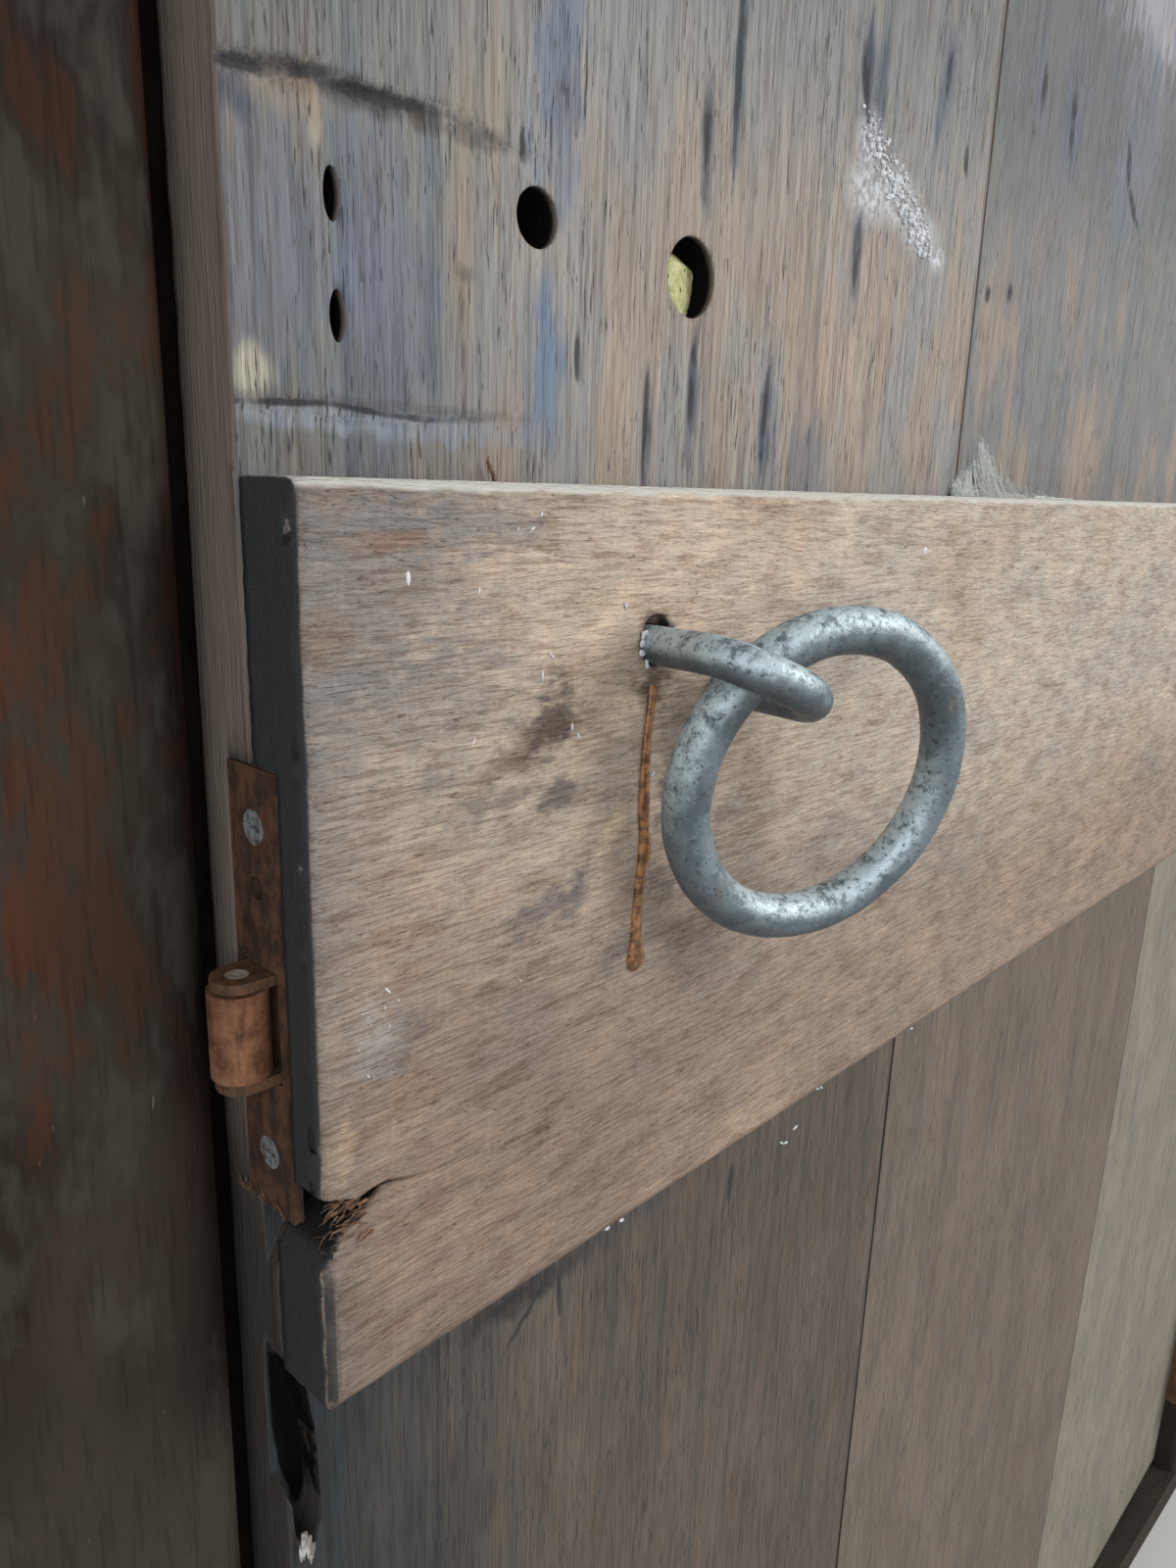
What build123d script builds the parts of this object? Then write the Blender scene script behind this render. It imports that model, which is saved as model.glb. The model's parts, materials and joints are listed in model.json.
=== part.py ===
"""Arched ledged door in its own wooden frame, standing slightly ajar.

The leaf is three wide boards, tongued together and nailed to two ledges.  It hangs on three
lift-off hinges on the right, carries a ring pull on a clenched staple, and is held shut by
a sprung roller catch let into its left edge.  The frame is two rebated jambs, an arched head
in two halves and a sill.

Axes: X across the doorway, -Y towards the ledged side, Z up.  The origin is the middle of
the sill's underside.  Leaf pieces are drawn in the leaf's own frame: x from its latch edge,
y from the boards' ledged face, z from the top of the middle ledge.
"""
import os
from math import cos, radians, sin

from build123d import *

# Leaf
LEAF_WIDTH = 980.0
BOARD_THICK = 22.5
FIRST_JOINT = 298.0          # latch edge to the first joint between boards
SECOND_JOINT = 636.0
BOARD_GAP = 0.8
TONGUE_THICK = 7.0
TONGUE_DEPTH = 9.0
TONGUE_CLEARANCE = 0.3
SPRING_HEIGHT = 1510.0       # leaf's bottom to where the arch springs
LEDGE_TOP = 950.0            # leaf's bottom to the top of the middle ledge
UPPER_LEDGE_DROP = 20.0      # springing to the top of the upper ledge
LEDGE_HEIGHT = 205.0
LEDGE_THICK = 20.5
LEDGE_BEVEL = 2.0
AJAR_ANGLE = 1.7

# Frame
LATCH_GAP = 7.0
HINGE_GAP = 3.0
FLOOR_GAP = 8.0
SILL_HEIGHT = 30.0
FRAME_DEPTH = 90.0
JAMB_WIDTH = 62.0            # outside face to rebate
STOP_WIDTH = 30.0            # rebate to the opening
STOP_CLEARANCE = 1.5
ARRIS_RADIUS = 8.0           # worn round of the rebate's front arris
TENON_WIDTH = 30.0
TENON_THICK = 24.0
TENON_LENGTH = 50.0
FOOT_TENON_LENGTH = 18.0
JOINT_CLEARANCE = 0.2
PEG_RADIUS = 5.0
CROWN_KEY_LENGTH = 110.0
CROWN_PEG_SPACING = 60.0
FIXING_RADIUS = 4.5
FIXING_SPACING = 550.0
FIXING_BACK = 22.0           # fixing holes behind the frame's middle plane

# Roller catch, places measured down from the top of the middle ledge
PLATE_TOP = -57.6
PLATE_HEIGHT = 103.6
PLATE_WIDTH = 18.5
PLATE_THICK = 2.5
CATCH_Y = 0.75               # catch's middle plane, just behind the joint of ledge and boards
PLATE_CLEARANCE = 0.3
TOP_SCREW_DROP = 13.0
LOW_SCREW_DROP = 89.4
ADJUSTER_DROP = 26.4
ROLLER_RADIUS = 6.5
ROLLER_HEIGHT = 20.0
ROLLER_DROP = 57.1           # plate's top to the roller's middle
ROLLER_OUT = 5.5             # roller's axis outside the leaf's edge
ROLLER_TRAVEL = 9.0
ROLLER_PIN_RADIUS = 2.5
ROLLER_RUNNING = 0.08
LUG_THICK = 2.4
LUG_WIDTH = 11.4
LUG_GAP = 0.4
CARRIAGE_BACK = 4.0
CARRIAGE_SHOULDER = 2.5      # carriage's back behind the plate, above and below its lugs
CARRIAGE_CLEARANCE = 0.35
CASE_WALL = 2.0
CASE_HEAD = 20.0             # solid block above the carriage, tapped for the adjuster
CASE_FOOT = 5.0
ADJUSTER_RADIUS = 2.5
ADJUSTER_LENGTH = 12.0
SPRING_DEPTH = 11.5
SPRING_REACH = 13.5          # half the height of the bowed spring
SPRING_STRIP = 0.8
SPRING_WIDTH = 9.0
STRIKE_HEIGHT = 72.0
STRIKE_THICK = 2.4
STRIKE_FRONT = 3.8           # bridge of the strike plate in front of its pocket
STRIKE_BACK = 8.0
POCKET_SIDE = 9.2            # half the pocket's width
POCKET_MARGIN = 4.5          # pocket above and below the lugs
POCKET_DEPTH = 8.5
POCKET_LIP = 1.8

# Screws
SCREW_HEAD_RADIUS = 3.9
SCREW_SHANK_RADIUS = 2.0
SCREW_LENGTH = 25.0
SCREW_HEAD_DEPTH = 2.2
SCREW_FIT = 0.1
CROSS_WIDTH = 0.9
CROSS_SPAN = 4.6
CROSS_DEPTH = 1.3

# Hinges
HINGE_HEIGHT = 160.0
LOW_HINGE_BASE = 76.0        # leaf's bottom to the lowest hinge's foot
KNUCKLE_RADIUS = 8.0
KNUCKLE_CLEARANCE = 0.4
WING_THICK = 2.6
WING_MARGIN = 3.0            # wood left behind a wing
HINGE_PIN_RADIUS = 4.5
HINGE_PIN_RUNNING = 0.06
WASHER_THICK = 2.0
HINGE_RISE = 0.3             # play above and below each washer
WING_SCREWS = 4
WING_SCREW_PITCH = 40.0
CAP_HEIGHT = 4.0

# Ring and staple, in the leaf's frame
RING_CENTRE = (138.2, -48.9, -73.9)
RING_NORMAL = (-0.34, -0.926, -0.164)
RING_RADIUS = 41.2
RING_BAR = 6.15
STAPLE_ROOT_X = 102.4
STAPLE_ROOT_Z = -38.65
STAPLE_SPAN = 29.0
STAPLE_FALL = 13.0
STAPLE_REACH = 37.9
STAPLE_LEAN = 20.8           # towards the latch edge
STAPLE_LIFT = 3.15
STAPLE_BAR = 5.0
STAPLE_FIT = 0.25
CLENCH_RADIUS = 6.5
CLENCH_TAIL = 24.0
CLENCH_GAP = 0.3
CRUSH = 1.7                  # wood crushed round each leg where it is bent over
CRUSH_DEPTH = 4.0
MOUTH_RISE = 3.0
MOUTH_DEPTH = 7.0

# Nails
NAIL_SHANK = 4.4
NAIL_HEAD = 12.0
NAIL_HEAD_HEIGHT = 2.4
NAIL_COVER = 4.0             # wood left in front of a nail's point
NAIL_INSET = 36.0            # ledge's edge to a row of nails
NAIL_EDGE = 60.0             # board's edge to a column of nails
NAIL_FIT = 0.1

# Old holes and damage in the latch board and the middle ledge
BORE_SMALL_X = 78.4
BORE_SMALL_Z = 58.1
BORE_SMALL_RADIUS = 6.5
BORE_LARGE_X = 134.7
BORE_LARGE_Z = 53.5
BORE_LARGE_RADIUS = 10.0
FILLER_DEPTH = 13.0
FILLER_SLOPE = 24.0
SLIT_HOLES = ((23.4, 52.9), (24.0, 30.9))
SLIT_WIDTH = 4.0
SLIT_LENGTH = 10.0
SLIT_DEPTH = 9.0
BREAK_OUTLINE = (
    (-1.0, -149.3), (9.5, -153.6), (18.5, -154.4), (12.0, -158.6),
    (6.0, -161.0), (2.5, -166.5), (-1.0, -172.0),
)
CRACK_OUTLINE = ((17.5, -154.1), (33.0, -155.4), (67.0, -160.2), (33.0, -156.6), (17.0, -155.2))
CRACK_DEPTH = 9.0
WORN_ARRIS = 4.2             # lower stretch of the ledge's front arris
WORN_FROM = -162.0
CHIP_OUTLINE = (
    (-1.0, -196.0), (4.6, -214.0), (8.8, -232.0), (9.8, -256.0), (6.5, -266.0),
    (2.2, -262.0), (1.4, -248.0), (-1.0, -240.0),
)
CHIP_DEPTH = 9.0
SPLIT_OUTLINE = ((-1.0, -159.0), (5.5, -160.5), (7.5, -166.0), (3.5, -173.0), (-1.0, -182.0))
SPLIT_DEPTH = 6.0

OVERCUT = 1.0                # cuts run this far past the faces that they go through

# Frame, worked out from the sizes above
half_rebate = (LEAF_WIDTH + LATCH_GAP + HINGE_GAP) / 2
half_opening = half_rebate - STOP_WIDTH
half_outside = half_rebate + JAMB_WIDTH
frame_front = -FRAME_DEPTH / 2
frame_back = FRAME_DEPTH / 2
board_face = frame_front + LEDGE_THICK
stop_face = board_face + BOARD_THICK + STOP_CLEARANCE
leaf_foot = SILL_HEIGHT + FLOOR_GAP
spring_level = leaf_foot + SPRING_HEIGHT
ledge_level = leaf_foot + LEDGE_TOP
tenon_middle = (half_rebate + half_outside) / 2
peg_level = spring_level + TENON_LENGTH / 2
crown_level = spring_level + tenon_middle
fixing_levels = [SILL_HEIGHT + SPRING_HEIGHT / 2 + FIXING_SPACING * step for step in (-1, 0, 1)]

# Leaf
leaf_radius = LEAF_WIDTH / 2
leaf_bottom = -LEDGE_TOP
leaf_spring = SPRING_HEIGHT - LEDGE_TOP
leaf_crown = leaf_spring + leaf_radius
upper_ledge = SPRING_HEIGHT - UPPER_LEDGE_DROP - LEDGE_TOP
nail_length = BOARD_THICK + LEDGE_THICK - NAIL_COVER
nail_columns = [
    NAIL_EDGE, FIRST_JOINT - NAIL_EDGE,
    FIRST_JOINT + NAIL_EDGE, SECOND_JOINT - NAIL_EDGE,
    SECOND_JOINT + NAIL_EDGE, LEAF_WIDTH - NAIL_EDGE,
]
nail_spots = [
    (x, top - drop)
    for top in (0.0, upper_ledge)
    for drop in (NAIL_INSET, LEDGE_HEIGHT - NAIL_INSET)
    for x in nail_columns
]

# Hinges: their common axis stands just in front of the frame
hinge_x = half_rebate - HINGE_GAP / 2
hinge_y = frame_front - KNUCKLE_RADIUS - KNUCKLE_CLEARANCE
leaf_hinge_x = LEAF_WIDTH + HINGE_GAP / 2
leaf_hinge_y = -LEDGE_THICK - KNUCKLE_RADIUS - KNUCKLE_CLEARANCE
knuckle_height = (HINGE_HEIGHT - WASHER_THICK - 2 * HINGE_RISE) / 2
wing_back = BOARD_THICK - WING_MARGIN
ledge_hinge_drop = (LEDGE_HEIGHT + HINGE_HEIGHT) / 2
hinge_bases = [LOW_HINGE_BASE, LEDGE_TOP - ledge_hinge_drop, LEDGE_TOP + upper_ledge - ledge_hinge_drop]
screw_row_foot = (HINGE_HEIGHT - WING_SCREW_PITCH * (WING_SCREWS - 1)) / 2
wing_screw_levels = [
    base + screw_row_foot + WING_SCREW_PITCH * index
    for base in hinge_bases
    for index in range(WING_SCREWS)
]

# Roller catch
roller_level = PLATE_TOP - ROLLER_DROP
lug_span = ROLLER_HEIGHT + 2 * (LUG_GAP + LUG_THICK)
window_half = ROLLER_RADIUS + CARRIAGE_CLEARANCE
window_height = lug_span + 2 * CARRIAGE_CLEARANCE
cavity_height = window_height + 2 * CARRIAGE_SHOULDER
carriage_front = PLATE_THICK + CARRIAGE_CLEARANCE
spring_front = carriage_front + CARRIAGE_BACK + CARRIAGE_CLEARANCE
cavity_back = spring_front + SPRING_DEPTH + CARRIAGE_CLEARANCE
case_half = window_half + CASE_WALL
case_top = roller_level + cavity_height / 2 + CASE_HEAD
case_foot = roller_level - cavity_height / 2 - CASE_FOOT
case_back = cavity_back + CASE_WALL
plate_middle = PLATE_TOP - PLATE_HEIGHT / 2
adjuster_level = PLATE_TOP - ADJUSTER_DROP
catch_screw_spots = [(-CATCH_Y, PLATE_TOP - drop) for drop in (TOP_SCREW_DROP, LOW_SCREW_DROP)]

# Strike plate in the latch jamb
catch_line = board_face + CATCH_Y
strike_level = ledge_level + roller_level
strike_front_y = catch_line - POCKET_SIDE - STRIKE_FRONT
strike_back_y = catch_line + POCKET_SIDE + STRIKE_BACK
pocket_height = lug_span + 2 * POCKET_MARGIN
strike_screw_rise = (STRIKE_HEIGHT + pocket_height) / 4
strike_screw_spots = [(catch_line, strike_level + rise) for rise in (-strike_screw_rise, strike_screw_rise)]

# The leaf's frame, turned about the hinges to stand ajar
turn = radians(AJAR_ANGLE)
closed_x = -half_rebate + LATCH_GAP - hinge_x
closed_y = board_face - hinge_y
leaf_x_dir = Vector(cos(turn), sin(turn), 0)
leaf_y_dir = Vector(-sin(turn), cos(turn), 0)
leaf_origin = Vector(hinge_x, hinge_y, ledge_level) + leaf_x_dir * closed_x + leaf_y_dir * closed_y


def leaf_vector(x, y, z):
    """A direction given in the leaf's frame."""
    return leaf_x_dir * x + leaf_y_dir * y + Vector(0, 0, z)


def leaf_point(x, y, z):
    """A point given in the leaf's frame."""
    return leaf_origin + leaf_vector(x, y, z)


def leaf_face(y):
    """Plane across the leaf at depth y: sketches are in x and z, and extrude towards -y."""
    return Plane(origin=leaf_point(0, y, 0), x_dir=leaf_x_dir, z_dir=-leaf_y_dir)


def latch_edge(x):
    """Plane along the leaf's latch edge: sketches are in -y and z, and extrude towards -x."""
    return Plane(origin=leaf_point(x, 0, 0), x_dir=-leaf_y_dir, z_dir=-leaf_x_dir)


def hinge_edge(x):
    """Plane along the leaf's hinge edge: sketches are in y and z, and extrude towards x."""
    return Plane(origin=leaf_point(x, 0, 0), x_dir=leaf_y_dir, z_dir=leaf_x_dir)


def leaf_level(z):
    """Level plane in the leaf's frame: sketches are in x and y, and extrude upwards."""
    return Plane(origin=leaf_point(0, 0, z), x_dir=leaf_x_dir, z_dir=(0, 0, 1))


def frame_face(y):
    """Plane across the frame at depth y: sketches are in x and z, and extrude towards -y."""
    return Plane(origin=(0, y, 0), x_dir=(1, 0, 0), z_dir=(0, -1, 0))


def latch_reveal(x):
    """Plane along the latch jamb's rebate: sketches are in y and z, and extrude towards +x."""
    return Plane(origin=(x, 0, 0), x_dir=(0, 1, 0), z_dir=(1, 0, 0))


def hinge_reveal(x):
    """Plane along the hinge jamb's rebate: sketches are in -y and z, and extrude towards -x."""
    return Plane(origin=(x, 0, 0), x_dir=(0, -1, 0), z_dir=(-1, 0, 0))


def rectangle(plane, low, high):
    """Rectangle on a plane between two opposite corners."""
    with BuildSketch(plane) as sketch:
        with Locations(((low[0] + high[0]) / 2, (low[1] + high[1]) / 2)):
            Rectangle(abs(high[0] - low[0]), abs(high[1] - low[1]))
    return sketch.sketch


def circles(plane, spots, radius):
    """Equal circles on a plane."""
    with BuildSketch(plane) as sketch:
        with Locations(*spots):
            Circle(radius)
    return sketch.sketch


def polygon(plane, points):
    """Closed outline of straight lines on a plane."""
    with BuildSketch(plane) as sketch:
        with BuildLine():
            Polyline(*points, close=True)
        make_face()
    return sketch.sketch


def frame_section(side):
    """Rebated section of the frame at the springing, on the latch (-1) or hinge (1) side."""
    with BuildSketch(Plane.XY.offset(spring_level)) as sketch:
        with BuildLine():
            Line((side * half_outside, frame_front), (side * (half_rebate + ARRIS_RADIUS), frame_front))
            RadiusArc(
                (side * (half_rebate + ARRIS_RADIUS), frame_front),
                (side * half_rebate, frame_front + ARRIS_RADIUS),
                side * ARRIS_RADIUS,
            )
            Polyline(
                (side * half_rebate, frame_front + ARRIS_RADIUS),
                (side * half_rebate, stop_face),
                (side * half_opening, stop_face),
                (side * half_opening, frame_back),
                (side * half_outside, frame_back),
                (side * half_outside, frame_front),
            )
        make_face()
    return sketch.sketch


def board_outline(plane, low, high):
    """Stretch of the arched leaf between two upright lines."""
    with BuildSketch(plane) as sketch:
        with Locations((leaf_radius, (leaf_bottom + leaf_spring) / 2)):
            Rectangle(LEAF_WIDTH, leaf_spring - leaf_bottom)
        with Locations((leaf_radius, leaf_spring)):
            Circle(leaf_radius)
        with Locations(((low + high) / 2, (leaf_bottom + leaf_crown) / 2)):
            Rectangle(high - low, leaf_crown - leaf_bottom + 2 * OVERCUT, mode=Mode.INTERSECT)
    return sketch.sketch


def knuckle_outline(plane, x, y, wing_near, wing_far, wing_front):
    """Knuckle round its pin with the neck that joins it to a wing, which lies past the axis."""
    with BuildSketch(plane) as sketch:
        with Locations((x, y)):
            Circle(KNUCKLE_RADIUS)
        with Locations(((wing_near + wing_far) / 2, (y + wing_front) / 2)):
            Rectangle(abs(wing_far - wing_near), wing_front - y)
        with Locations((x, y)):
            Circle(HINGE_PIN_RADIUS + HINGE_PIN_RUNNING, mode=Mode.SUBTRACT)
    return sketch.sketch


def add_screws(plane, spots, length):
    """Countersunk screws with a cross recess, heads flush with a plane and shanks behind it."""
    places = [plane * Location((x, y, 0)) for x, y in spots]
    shank_places = [plane * Location((x, y, -SCREW_HEAD_DEPTH)) for x, y in spots]
    top = (Align.CENTER, Align.CENTER, Align.MAX)
    with Locations(*places):
        Cone(SCREW_SHANK_RADIUS, SCREW_HEAD_RADIUS, SCREW_HEAD_DEPTH, align=top)
    with Locations(*shank_places):
        Cylinder(SCREW_SHANK_RADIUS, length - SCREW_HEAD_DEPTH, align=top)
    with Locations(*places):
        Box(CROSS_SPAN, CROSS_WIDTH, CROSS_DEPTH, align=top, mode=Mode.SUBTRACT)
        Box(CROSS_WIDTH, CROSS_SPAN, CROSS_DEPTH, align=top, mode=Mode.SUBTRACT)


def cut_countersinks(plane, spots, thick):
    """Countersunk holes for the screws, through a plate under a plane."""
    with Locations(*[plane * Location((x, y, 0)) for x, y in spots]):
        CounterSinkHole(SCREW_SHANK_RADIUS + SCREW_FIT, SCREW_HEAD_RADIUS + SCREW_FIT, depth=thick + OVERCUT)


def finish(piece, name):
    """Label a finished piece and write it to its file."""
    piece.part.label = name
    export_step(piece.part, f"parts/{name}.step")


os.makedirs("parts", exist_ok=True)

# Sill, with blind mortices for the jambs' foot tenons
with BuildPart() as sill:
    with BuildSketch(Plane.XY):
        Rectangle(2 * half_outside, FRAME_DEPTH)
    extrude(amount=SILL_HEIGHT)
    with BuildSketch(Plane.XY.offset(SILL_HEIGHT)):
        with Locations((-tenon_middle, 0), (tenon_middle, 0)):
            Rectangle(TENON_WIDTH + 2 * JOINT_CLEARANCE, TENON_THICK + 2 * JOINT_CLEARANCE)
    extrude(amount=-FOOT_TENON_LENGTH - JOINT_CLEARANCE, mode=Mode.SUBTRACT)
finish(sill, "sill")


def add_jamb(side):
    """Rebated post with a tenon at its foot and head, a peg hole and holes for wall fixings."""
    extrude(frame_section(side), amount=-(spring_level - SILL_HEIGHT))
    with BuildSketch(Plane.XY.offset(SILL_HEIGHT - FOOT_TENON_LENGTH)) as tenons:
        with Locations((side * tenon_middle, 0)):
            Rectangle(TENON_WIDTH, TENON_THICK)
    extrude(tenons.sketch, amount=spring_level + TENON_LENGTH - SILL_HEIGHT + FOOT_TENON_LENGTH)
    peg_hole = circles(
        frame_face(frame_back), [(side * tenon_middle, peg_level)], PEG_RADIUS + JOINT_CLEARANCE
    )
    extrude(peg_hole, amount=FRAME_DEPTH, mode=Mode.SUBTRACT)
    fixings = circles(
        latch_reveal(side * half_opening), [(FIXING_BACK, level) for level in fixing_levels], FIXING_RADIUS
    )
    extrude(fixings, amount=side * (half_outside - half_opening), mode=Mode.SUBTRACT)


with BuildPart() as jamb_latch:
    add_jamb(-1)
    strike_recess = rectangle(
        latch_reveal(-half_rebate),
        (strike_front_y - PLATE_CLEARANCE, strike_level - STRIKE_HEIGHT / 2 - PLATE_CLEARANCE),
        (strike_back_y + PLATE_CLEARANCE, strike_level + STRIKE_HEIGHT / 2 + PLATE_CLEARANCE),
    )
    extrude(strike_recess, amount=-STRIKE_THICK, mode=Mode.SUBTRACT)
    pocket = rectangle(
        latch_reveal(-half_rebate),
        (catch_line - POCKET_SIDE, strike_level - pocket_height / 2),
        (catch_line + POCKET_SIDE, strike_level + pocket_height / 2),
    )
    extrude(pocket, amount=-POCKET_DEPTH, mode=Mode.SUBTRACT)
    strike_holes = circles(latch_reveal(-half_rebate), strike_screw_spots, SCREW_SHANK_RADIUS + SCREW_FIT)
    extrude(strike_holes, amount=-SCREW_LENGTH - OVERCUT, mode=Mode.SUBTRACT)
finish(jamb_latch, "jamb_latch")

with BuildPart() as jamb_hinge:
    add_jamb(1)
    for base in hinge_bases:
        wing_recess = rectangle(
            hinge_reveal(half_rebate),
            (-frame_front + OVERCUT, leaf_foot + base - PLATE_CLEARANCE),
            (-board_face - wing_back - PLATE_CLEARANCE, leaf_foot + base + HINGE_HEIGHT + PLATE_CLEARANCE),
        )
        extrude(wing_recess, amount=-WING_THICK, mode=Mode.SUBTRACT)
    frame_wing_spots = [(-board_face - BOARD_THICK / 2, leaf_foot + level) for level in wing_screw_levels]
    wing_holes = circles(hinge_reveal(half_rebate), frame_wing_spots, SCREW_SHANK_RADIUS + SCREW_FIT)
    extrude(wing_holes, amount=-SCREW_LENGTH - OVERCUT, mode=Mode.SUBTRACT)
finish(jamb_hinge, "jamb_hinge")


# Arched head: each half is the jambs' section turned through a quarter circle
def add_arch_half(side):
    """Half of the arched head, morticed for a jamb's tenon and for the crown key."""
    revolve(frame_section(side), axis=Axis((0, 0, spring_level), (0, side, 0)), revolution_arc=-90)
    width, thick = TENON_WIDTH + 2 * JOINT_CLEARANCE, TENON_THICK + 2 * JOINT_CLEARANCE
    with BuildSketch(Plane.XY.offset(spring_level)) as mortice:
        with Locations((side * tenon_middle, 0)):
            Rectangle(width, thick)
    extrude(mortice.sketch, amount=TENON_LENGTH + JOINT_CLEARANCE, mode=Mode.SUBTRACT)
    with BuildSketch(Plane.YZ) as key_mortice:
        with Locations((0, crown_level)):
            Rectangle(thick, width)
    extrude(key_mortice.sketch, amount=side * (CROWN_KEY_LENGTH / 2 + JOINT_CLEARANCE), mode=Mode.SUBTRACT)
    peg_spots = [(side * tenon_middle, peg_level), (side * CROWN_PEG_SPACING / 2, crown_level)]
    peg_holes = circles(frame_face(frame_back), peg_spots, PEG_RADIUS + JOINT_CLEARANCE)
    extrude(peg_holes, amount=FRAME_DEPTH, mode=Mode.SUBTRACT)


with BuildPart() as arch_latch:
    add_arch_half(-1)
finish(arch_latch, "arch_latch")

with BuildPart() as arch_hinge:
    add_arch_half(1)
finish(arch_hinge, "arch_hinge")

crown_peg_spots = [(-CROWN_PEG_SPACING / 2, crown_level), (CROWN_PEG_SPACING / 2, crown_level)]

with BuildPart() as crown_key:
    with BuildSketch(Plane.YZ.offset(-CROWN_KEY_LENGTH / 2)):
        with Locations((0, crown_level)):
            Rectangle(TENON_THICK, TENON_WIDTH)
    extrude(amount=CROWN_KEY_LENGTH)
    extrude(
        circles(frame_face(frame_back), crown_peg_spots, PEG_RADIUS + JOINT_CLEARANCE),
        amount=FRAME_DEPTH,
        mode=Mode.SUBTRACT,
    )
finish(crown_key, "crown_key")

with BuildPart() as frame_pegs:
    with BuildSketch(frame_face(frame_back)):
        with Locations((-tenon_middle, peg_level), (tenon_middle, peg_level), *crown_peg_spots):
            Circle(PEG_RADIUS)
    extrude(amount=FRAME_DEPTH)
finish(frame_pegs, "frame_pegs")


# Boards of the leaf
tongue_back = (BOARD_THICK + TONGUE_THICK) / 2


def add_board(low, high):
    """Board of the arched leaf between two upright lines."""
    extrude(board_outline(leaf_face(BOARD_THICK), low, high), amount=BOARD_THICK)


def add_tongue(joint):
    """Tongue along a board's hinge side."""
    tongue = board_outline(leaf_face(tongue_back), joint - BOARD_GAP, joint + TONGUE_DEPTH)
    extrude(tongue, amount=TONGUE_THICK)


def cut_groove(joint):
    """Groove along a board's latch side, for the next board's tongue."""
    groove = rectangle(
        leaf_face(tongue_back + TONGUE_CLEARANCE),
        (joint - OVERCUT, leaf_bottom - OVERCUT),
        (joint + TONGUE_DEPTH + TONGUE_CLEARANCE, leaf_crown + OVERCUT),
    )
    extrude(groove, amount=TONGUE_THICK + 2 * TONGUE_CLEARANCE, mode=Mode.SUBTRACT)


def cut_nail_holes(low, high, back, front):
    """Square nail holes between two upright lines and two depths."""
    with BuildSketch(leaf_face(back)) as holes:
        with Locations(*[spot for spot in nail_spots if low < spot[0] < high]):
            Rectangle(NAIL_SHANK + 2 * NAIL_FIT, NAIL_SHANK + 2 * NAIL_FIT)
    extrude(holes.sketch, amount=back - front, mode=Mode.SUBTRACT)


# Staple: its two legs lean towards the latch edge, and are clenched behind the boards
lean, lift = radians(STAPLE_LEAN), radians(STAPLE_LIFT)
staple_out = Vector(-sin(lean) * cos(lift), -cos(lean) * cos(lift), sin(lift))
near_root = Vector(STAPLE_ROOT_X, -LEDGE_THICK, STAPLE_ROOT_Z)
root_to_root = Vector(STAPLE_SPAN, 0, -STAPLE_FALL)
far_root = near_root + root_to_root
bend_across = root_to_root - staple_out * root_to_root.dot(staple_out)
bend_radius = bend_across.length / 2


def leg_section(root, radius, back):
    """Circle across a staple leg, some way back from where it leaves the ledge."""
    origin = root - staple_out * back
    plane = Plane(
        origin=leaf_point(*origin), x_dir=leaf_vector(*bend_across), z_dir=leaf_vector(*staple_out)
    )
    return circles(plane, [(0, 0)], radius)


def cut_leg_holes():
    """Holes of the two staple legs, through ledge and board."""
    through = BOARD_THICK + 2 * LEDGE_THICK
    for root in (near_root, far_root):
        extrude(
            leg_section(root, STAPLE_BAR + STAPLE_FIT, through),
            amount=through + LEDGE_THICK,
            mode=Mode.SUBTRACT,
        )
        crushed = leg_section(root, STAPLE_BAR + CRUSH, through)
        extrude(crushed, amount=through + CRUSH_DEPTH - LEDGE_THICK - BOARD_THICK, mode=Mode.SUBTRACT)


def cut_catch_mortice():
    """Recess of the face plate, mortice of the case and screw holes in the latch edge."""
    plate_recess = rectangle(
        latch_edge(-OVERCUT),
        (-CATCH_Y - PLATE_WIDTH / 2 - PLATE_CLEARANCE, PLATE_TOP - PLATE_HEIGHT - PLATE_CLEARANCE),
        (-CATCH_Y + PLATE_WIDTH / 2 + PLATE_CLEARANCE, PLATE_TOP + PLATE_CLEARANCE),
    )
    extrude(plate_recess, amount=-OVERCUT - PLATE_THICK, mode=Mode.SUBTRACT)
    case_mortice = rectangle(
        latch_edge(0),
        (-CATCH_Y - case_half - PLATE_CLEARANCE, case_foot - PLATE_CLEARANCE),
        (-CATCH_Y + case_half + PLATE_CLEARANCE, case_top + PLATE_CLEARANCE),
    )
    extrude(case_mortice, amount=-case_back - PLATE_CLEARANCE, mode=Mode.SUBTRACT)
    screw_holes = circles(latch_edge(0), catch_screw_spots, SCREW_SHANK_RADIUS + SCREW_FIT)
    extrude(screw_holes, amount=-SCREW_LENGTH - OVERCUT, mode=Mode.SUBTRACT)


leaf_wing_spots = [(BOARD_THICK / 2, leaf_bottom + level) for level in wing_screw_levels]


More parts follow.
